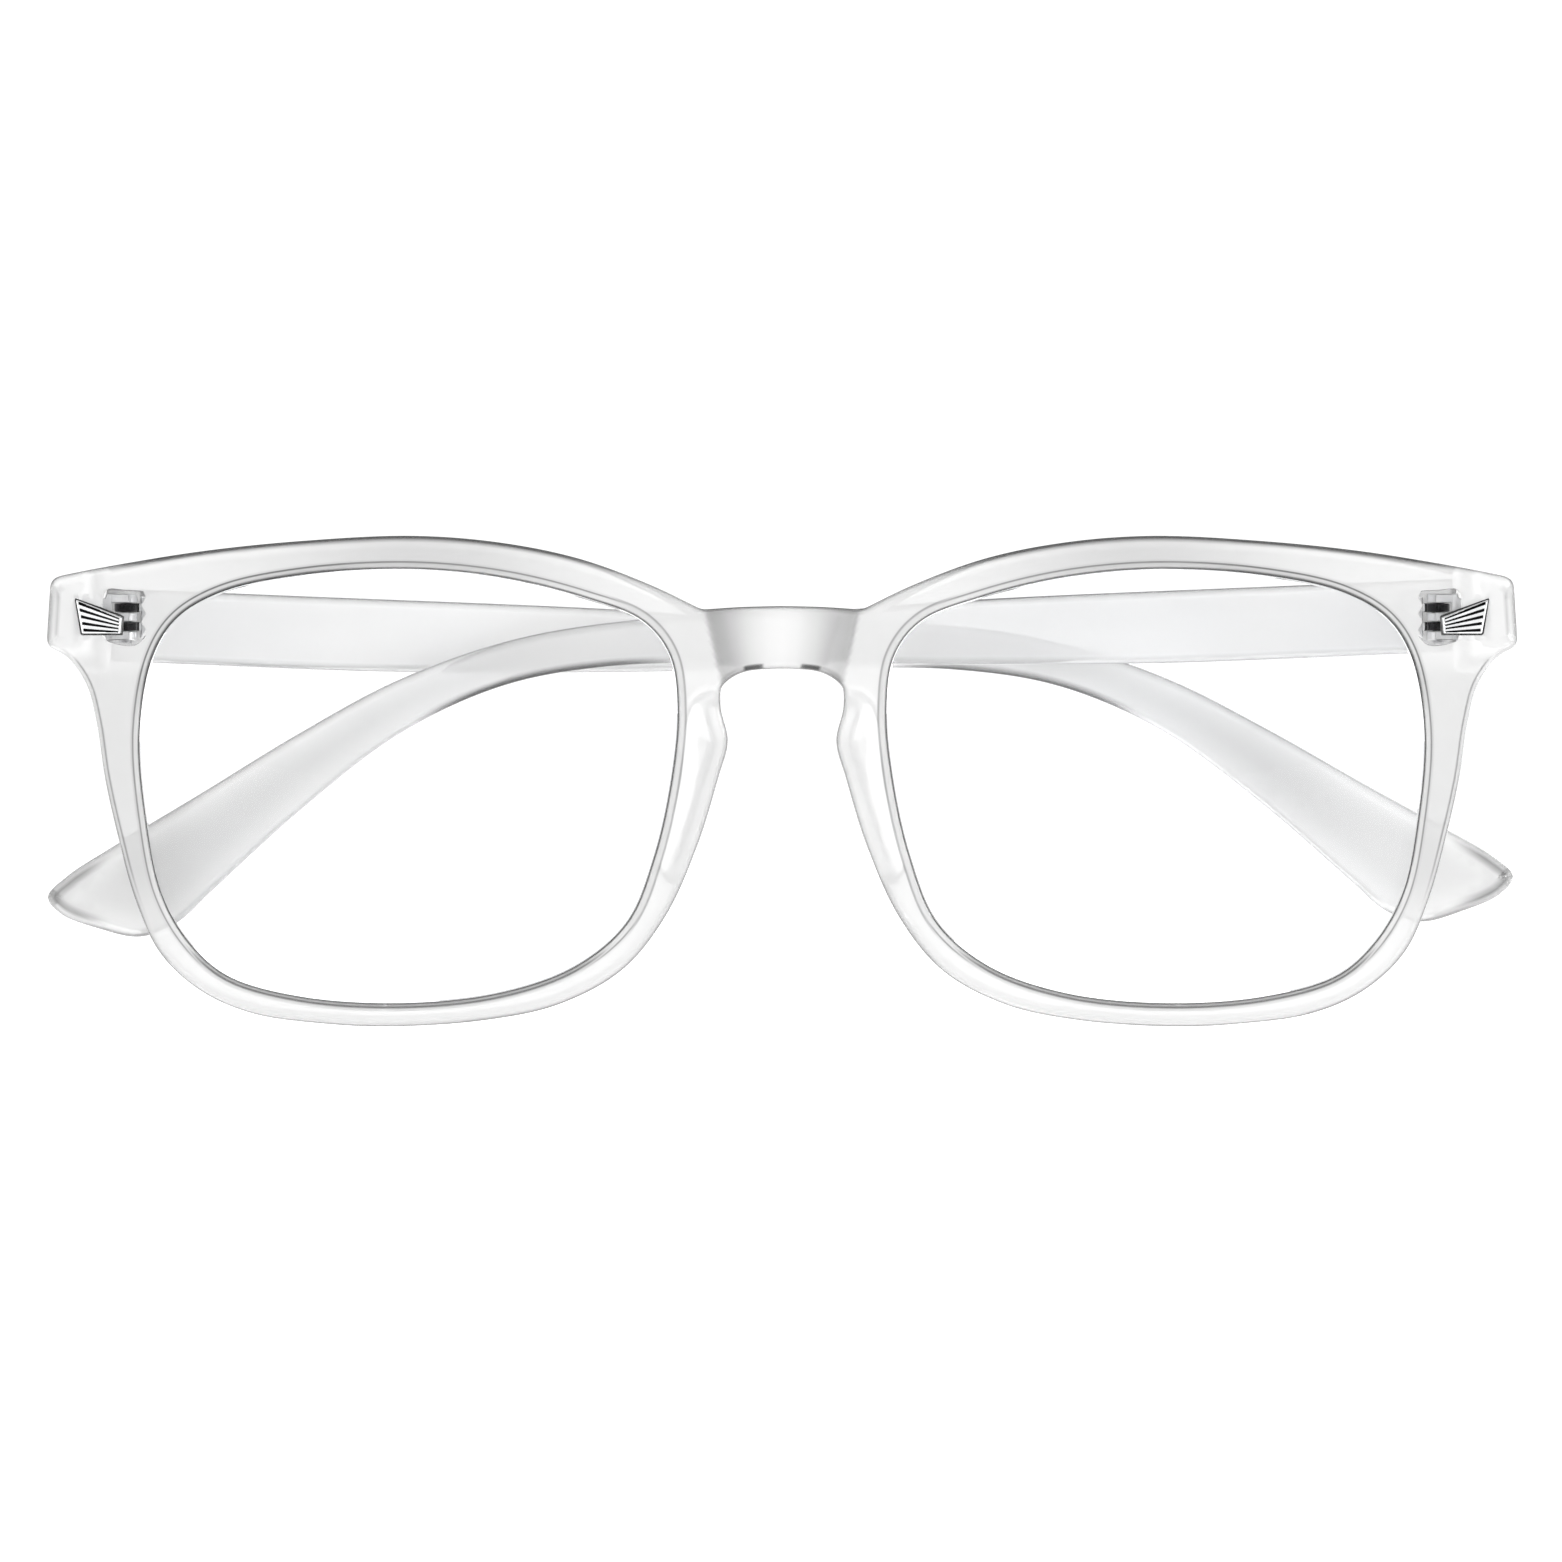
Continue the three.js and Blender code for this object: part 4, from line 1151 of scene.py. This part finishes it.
def build_screw(side, steel):
    top = HINGE_HEIGHT / 2
    under = top - SCREW_HEAD_HEIGHT
    tip = -top - SCREW_TIP
    shape = turned([
        (PIN_RADIUS - SCREW_CHAMFER, tip), (PIN_RADIUS, tip + SCREW_CHAMFER), (PIN_RADIUS, under + 0.05),
    ])
    angle = np.linspace(0, 2 * math.pi, 72, endpoint=False)
    circle = SCREW_HEAD_RADIUS * np.stack([np.cos(angle), np.sin(angle)], axis=1)

    def head_top(points):
        slot = SCREW_SLOT_HALF - np.abs(points[:, 1])
        return at_depth(points, SCREW_SLOT_DEPTH * ramp(slot / SLOT_WALL + 0.5))

    def head_under(points):
        return at_depth(points, SCREW_HEAD_HEIGHT)

    rows = (SCREW_SLOT_HALF - SLOT_WALL / 2, SCREW_SLOT_HALF + SLOT_WALL / 2)
    line = np.linspace(-0.75, 0.75, 24)
    lines = [np.stack([line, np.full(24, sign * z)], axis=1) for z in rows for sign in (-1, 1)]
    spots = np.concatenate([grid((-0.9, -0.9), (0.9, 0.9), 0.12), *lines])
    edge = {"loop": circle, "front": 0.08, "back": 0.04}
    head = plate([edge], head_top, head_under, spots, spots, scale=0.1)

    def stand(points):
        return np.stack([points[:, 0], points[:, 2], top - points[:, 1]], axis=1)

    shape.join(head, stand)
    name = SIDE_NAMES[side]
    screw = make_object(f"{name}_screw_smooth", shape, [steel])
    set_down(screw, at_hinge(side), False)
    mount_piece(screw, "front", f"{name}_hinge_screw")


# ---------- corner trims ----------


def trim_grooves():
    """The tapering grooves of the fan, each as an outline in the trim's own frame."""
    grooves = []
    for i in range(TRIM_GROOVES):
        share = (i + 0.5) / TRIM_GROOVES
        inner_x, inner_z = -2.3 - 0.15 * share + TRIM_BORDER, -1.4 + 1.55 * share
        outer_x, outer_z = 1.45 + 0.6 * share - TRIM_BORDER, -1.4 + 3.25 * share
        outline = np.array([
            (inner_x, inner_z - GROOVE_NARROW), (outer_x, outer_z - GROOVE_WIDE),
            (outer_x, outer_z + GROOVE_WIDE), (inner_x, inner_z + GROOVE_NARROW),
        ])
        grooves.append(outline)
    return grooves


def build_trim(side, silver, lacquer):
    grooves = trim_grooves()
    outline = wound(soften(even(fan_outline(0), TRIM_STEP), 2), True)

    def face(points):
        depth = np.zeros(len(points))
        for groove in grooves:
            inside = inside_corners(points, groove)
            depth = np.maximum(depth, TRIM_GROOVE_DEPTH * ramp(inside / GROOVE_WALL + 0.5))
        return at_depth(points, depth - TRIM_PROUD)

    def back(points):
        return at_depth(points, TRIM_THICKNESS - TRIM_PROUD)

    rows = []
    for groove in grooves:
        line = even(groove, TRIM_STEP)
        rows += [line + left_normals(line) * share * GROOVE_WALL for share in (-0.5, 0.5)]
    spots = grid((-2.5, -1.5), (2.3, 1.8), 0.16)
    edge = {"loop": outline, "front": TRIM_BEVEL, "back": 0.05}
    shape = plate([edge], face, back, spots, spots, rows, scale=0.2)
    for x, z in TRIM_PINS:
        length = TRIM_PIN_LENGTH + TRIM_PIN_SUNK
        pin = turned([(TRIM_PIN_RADIUS, 0), (TRIM_PIN_RADIUS, length)], steps=24)
        root = [x, TRIM_THICKNESS - TRIM_PROUD - TRIM_PIN_SUNK, z]
        shape.join(pin, lambda points, root=root: points[:, [0, 2, 1]] + root)
    name = SIDE_NAMES[side]
    trim = make_object(f"{name}_trim_smooth", shape, [silver, lacquer], sharp=50)

    def lacquered(x, y, z):
        flat = np.stack([x, z], axis=1)
        inside = np.max([inside_corners(flat, groove) for groove in grooves], axis=0)
        return (inside > 0) & (y > GROOVE_WALL - TRIM_PROUD) & (y < TRIM_GROOVE_DEPTH)

    paint(trim, lacquered)
    turn = Matrix.Rotation(side * TRIM_TURN, 4, "Z")
    spot = Vector((side * TRIM_X, FRONT_Y + wrap(TRIM_X), TRIM_Z)) * MM
    set_down(trim, Matrix.Translation(spot) @ turn, side == RIGHT)
    mount_piece(trim, "front", f"{name}_corner_trim")


# ---------- materials ----------


class Finish:
    """A material with one Principled shader and short ways to add noise-driven detail."""

    def __init__(self, name, **sockets):
        self.material = bpy.data.materials.new(name)
        self.material.use_nodes = True
        self.nodes = self.material.node_tree.nodes
        self.links = self.material.node_tree.links
        self.shader = self.nodes["Principled BSDF"]
        for socket, value in sockets.items():
            self.shader.inputs[socket.replace("_", " ")].default_value = value
        self.coords = self.nodes.new("ShaderNodeTexCoord")

    def noise(self, scale, detail=3.0, stretch=(1, 1, 1)):
        mapping = self.nodes.new("ShaderNodeMapping")
        mapping.inputs["Scale"].default_value = stretch
        self.links.new(self.coords.outputs["Object"], mapping.inputs["Vector"])
        noise = self.nodes.new("ShaderNodeTexNoise")
        noise.inputs["Scale"].default_value = scale
        noise.inputs["Detail"].default_value = detail
        self.links.new(mapping.outputs["Vector"], noise.inputs["Vector"])
        return noise.outputs["Fac"]

    def spread(self, source, low, high):
        """Noise as a number between two values."""
        node = self.nodes.new("ShaderNodeMapRange")
        sockets = ("From Min", "From Max", "To Min", "To Max")
        for socket, number in zip(sockets, (*NOISE_RANGE, low, high)):
            node.inputs[socket].default_value = number
        self.links.new(source, node.inputs["Value"])
        return node.outputs["Result"]

    def vary(self, source, socket, low, high):
        """Drives a number socket between two values."""
        self.links.new(self.spread(source, low, high), self.shader.inputs[socket])

    def tint(self, source, low, high):
        """Drives the base colour between two colours."""
        colours = self.nodes.new("ShaderNodeValToRGB")
        for element, place, colour in zip(colours.color_ramp.elements, NOISE_RANGE, (low, high)):
            element.position = place
            element.color = (*colour, 1)
        self.links.new(source, colours.inputs["Fac"])
        self.links.new(colours.outputs["Color"], self.shader.inputs["Base Color"])

    def toned(self, source, low, high):
        """Drives the base colour between two greys, times the tone of the surface, which holds its
        painted light and shade.
        """
        attribute = self.nodes.new("ShaderNodeAttribute")
        attribute.attribute_name = "tone"
        product = self.nodes.new("ShaderNodeMath")
        product.operation = "MULTIPLY"
        self.links.new(self.spread(source, low, high), product.inputs[0])
        self.links.new(attribute.outputs["Fac"], product.inputs[1])
        self.links.new(product.outputs["Value"], self.shader.inputs["Base Color"])

    def bump(self, source, strength, distance):
        bump = self.nodes.new("ShaderNodeBump")
        bump.inputs["Strength"].default_value = strength
        bump.inputs["Distance"].default_value = distance * MM
        self.links.new(source, bump.inputs["Height"])
        self.links.new(bump.outputs["Normal"], self.shader.inputs["Normal"])


def moulded_plastic(name, clarity, rough=POLISHED, ior=PLASTIC_IOR, grey=0.99):
    """Clear moulded plastic: polished, with a faint milkiness and the slow waviness of moulding; its
    colour also carries the painted light and shade of the tone attribute.
    """
    finish = Finish(name, IOR=ior, Transmission_Weight=clarity)
    cloud = finish.noise(60, 2.0)
    finish.toned(cloud, grey - 0.015, grey)
    finish.vary(finish.noise(900, 4.0), "Roughness", *rough)
    finish.bump(cloud, 0.05, 0.01)
    return finish.material


def lens_coat():
    finish = Finish("coated_lens", IOR=LENS_IOR, Transmission_Weight=1.0)
    finish.tint(finish.noise(40, 2.0), (0.985, 0.99, 1.0), (1.0, 1.0, 1.0))
    finish.vary(finish.noise(700, 3.0), "Roughness", 0.0, 0.01)
    return finish.material


def silver_plate():
    finish = Finish("silver_trim", Metallic=1.0)
    finish.tint(finish.noise(500, 3.0), (0.80, 0.81, 0.82), (0.93, 0.93, 0.94))
    finish.vary(finish.noise(1500, 4.0, (0.2, 1, 1)), "Roughness", 0.12, 0.24)
    return finish.material


def black_lacquer():
    finish = Finish("groove_lacquer", IOR=1.1)
    finish.tint(finish.noise(900, 2.0), (0.004, 0.004, 0.004), (0.012, 0.012, 0.013))
    finish.vary(finish.noise(2500, 4.0), "Roughness", 0.3, 0.5)
    return finish.material


def satin_steel(name, dark, light, low, high):
    finish = Finish(name, Metallic=1.0)
    finish.tint(finish.noise(700, 3.0), dark, light)
    finish.vary(finish.noise(2200, 4.0, (1, 1, 0.25)), "Roughness", low, high)
    finish.bump(finish.noise(3000, 2.0, (1, 1, 0.2)), 0.2, 0.01)
    return finish.material


# ---------- light, floor and camera ----------


def build_world():
    """Eight soft light panels stand in a ring round the table, in a dimmer room."""
    world = bpy.data.worlds.new("studio")
    bpy.context.scene.world = world
    world.use_nodes = True
    nodes, links = world.node_tree.nodes, world.node_tree.links

    def maths(operation, *values):
        node = nodes.new("ShaderNodeMath")
        node.operation = operation
        for i, value in enumerate(values):
            if isinstance(value, (int, float)):
                node.inputs[i].default_value = value
            else:
                links.new(value, node.inputs[i])
        return node.outputs[0]

    def between(value, start, end, low, high):
        node = nodes.new("ShaderNodeMapRange")
        node.interpolation_type = "SMOOTHSTEP"
        for socket, number in zip(("From Min", "From Max", "To Min", "To Max"), (start, end, low, high)):
            node.inputs[socket].default_value = number
        links.new(value, node.inputs["Value"])
        return node.outputs["Result"]

    coords = nodes.new("ShaderNodeTexCoord")
    split = nodes.new("ShaderNodeSeparateXYZ")
    links.new(coords.outputs["Generated"], split.inputs[0])
    azimuth = maths("ARCTAN2", split.outputs["X"], split.outputs["Y"])
    ring = maths("COSINE", maths("MULTIPLY", azimuth, PANELS))
    beside = between(ring, *PANEL_EDGE, 0, 1)
    above = between(split.outputs["Z"], *PANEL_TOP, 1, 0)
    panel = maths("MULTIPLY", beside, above)
    light = between(panel, 0, 1, ROOM_LIGHT, PANEL_LIGHT)
    nodes["Background"].inputs["Color"].default_value = (1, 1, 1, 1)
    links.new(light, nodes["Background"].inputs["Strength"])


def build_floor():
    mesh = bpy.data.meshes.new("floor")
    size = FLOOR_HALF
    corners = [(-size, -size, 0), (size, -size, 0), (size, size, 0), (-size, size, 0)]
    mesh.from_pydata(corners, [], [(0, 1, 2, 3)])
    floor = bpy.data.objects.new("floor", mesh)
    bpy.context.scene.collection.objects.link(floor)
    paper = Finish(
        "floor_paper", Roughness=1.0, Specular_IOR_Level=0,
        Emission_Strength=FLOOR_GLOW, Emission_Color=(1, 1, 1, 1),
    )
    paper.tint(paper.noise(4, 2.0), (0.88, 0.88, 0.88), (0.9, 0.9, 0.9))
    mesh.materials.append(paper.material)


def area_light(name, place, size, power):
    data = bpy.data.lights.new(name, "AREA")
    data.shape = "DISK"
    data.size = size
    data.energy = power
    light = bpy.data.objects.new(name, data)
    bpy.context.scene.collection.objects.link(light)
    light.location = place
    aim = LIGHT_AIM - light.location
    light.rotation_euler = aim.to_track_quat("-Z", "Y").to_euler()


def build_camera():
    data = bpy.data.cameras.new("camera")
    camera = bpy.data.objects.new("camera", data)
    bpy.context.scene.collection.objects.link(camera)
    x, z = VIEW_MIDDLE
    camera.location = Vector((x, FRONT_Y - CAMERA_DISTANCE, z)) * MM
    camera.rotation_euler = (math.radians(90), 0, 0)
    data.angle = 2 * math.atan(VIEW_WIDTH / 2 / CAMERA_DISTANCE)
    data.clip_end = CLIP_END
    bpy.context.scene.camera = camera


def build_glasses():
    frame_plastic = moulded_plastic("clear_frame", MILKY)
    window_plastic = moulded_plastic("clear_frame_polished", 1.0, ior=WINDOW_IOR)
    matt_plastic = moulded_plastic("clear_frame_matt", 1.0, MATT, grey=MATT_GREY)
    temple_plastic = moulded_plastic("clear_temple", MILKY)
    coated = lens_coat()
    silver, lacquer = silver_plate(), black_lacquer()
    steel = satin_steel("hinge_steel", (0.8, 0.81, 0.82), (0.9, 0.9, 0.91), 0.3, 0.45)
    # Near-black steel on the temple leaves' knuckles: painted shade in the gaps between the front leaf's
    # fingers
    shade_painted_steel = satin_steel(
        "hinge_steel_painted_shade", (0.008, 0.008, 0.009), (0.025, 0.025, 0.027), 0.25, 0.4,
    )
    screw_steel = satin_steel("screw_steel", (0.4, 0.4, 0.41), (0.56, 0.56, 0.57), 0.4, 0.55)
    build_front(frame_plastic, window_plastic, matt_plastic)
    for side in (LEFT, RIGHT):
        build_lens(side, coated)
        build_trim(side, silver, lacquer)
        build_front_leaf(side, steel)
        build_temple_leaf(side, steel, shade_painted_steel)
        build_screw(side, screw_steel)
        build_temple(side, temple_plastic)


build_glasses()
build_world()
build_floor()
for name, place, size, power in LIGHTS:
    area_light(name, place, size, power)
build_camera()
bpy.context.scene.view_settings.view_transform = "Standard"
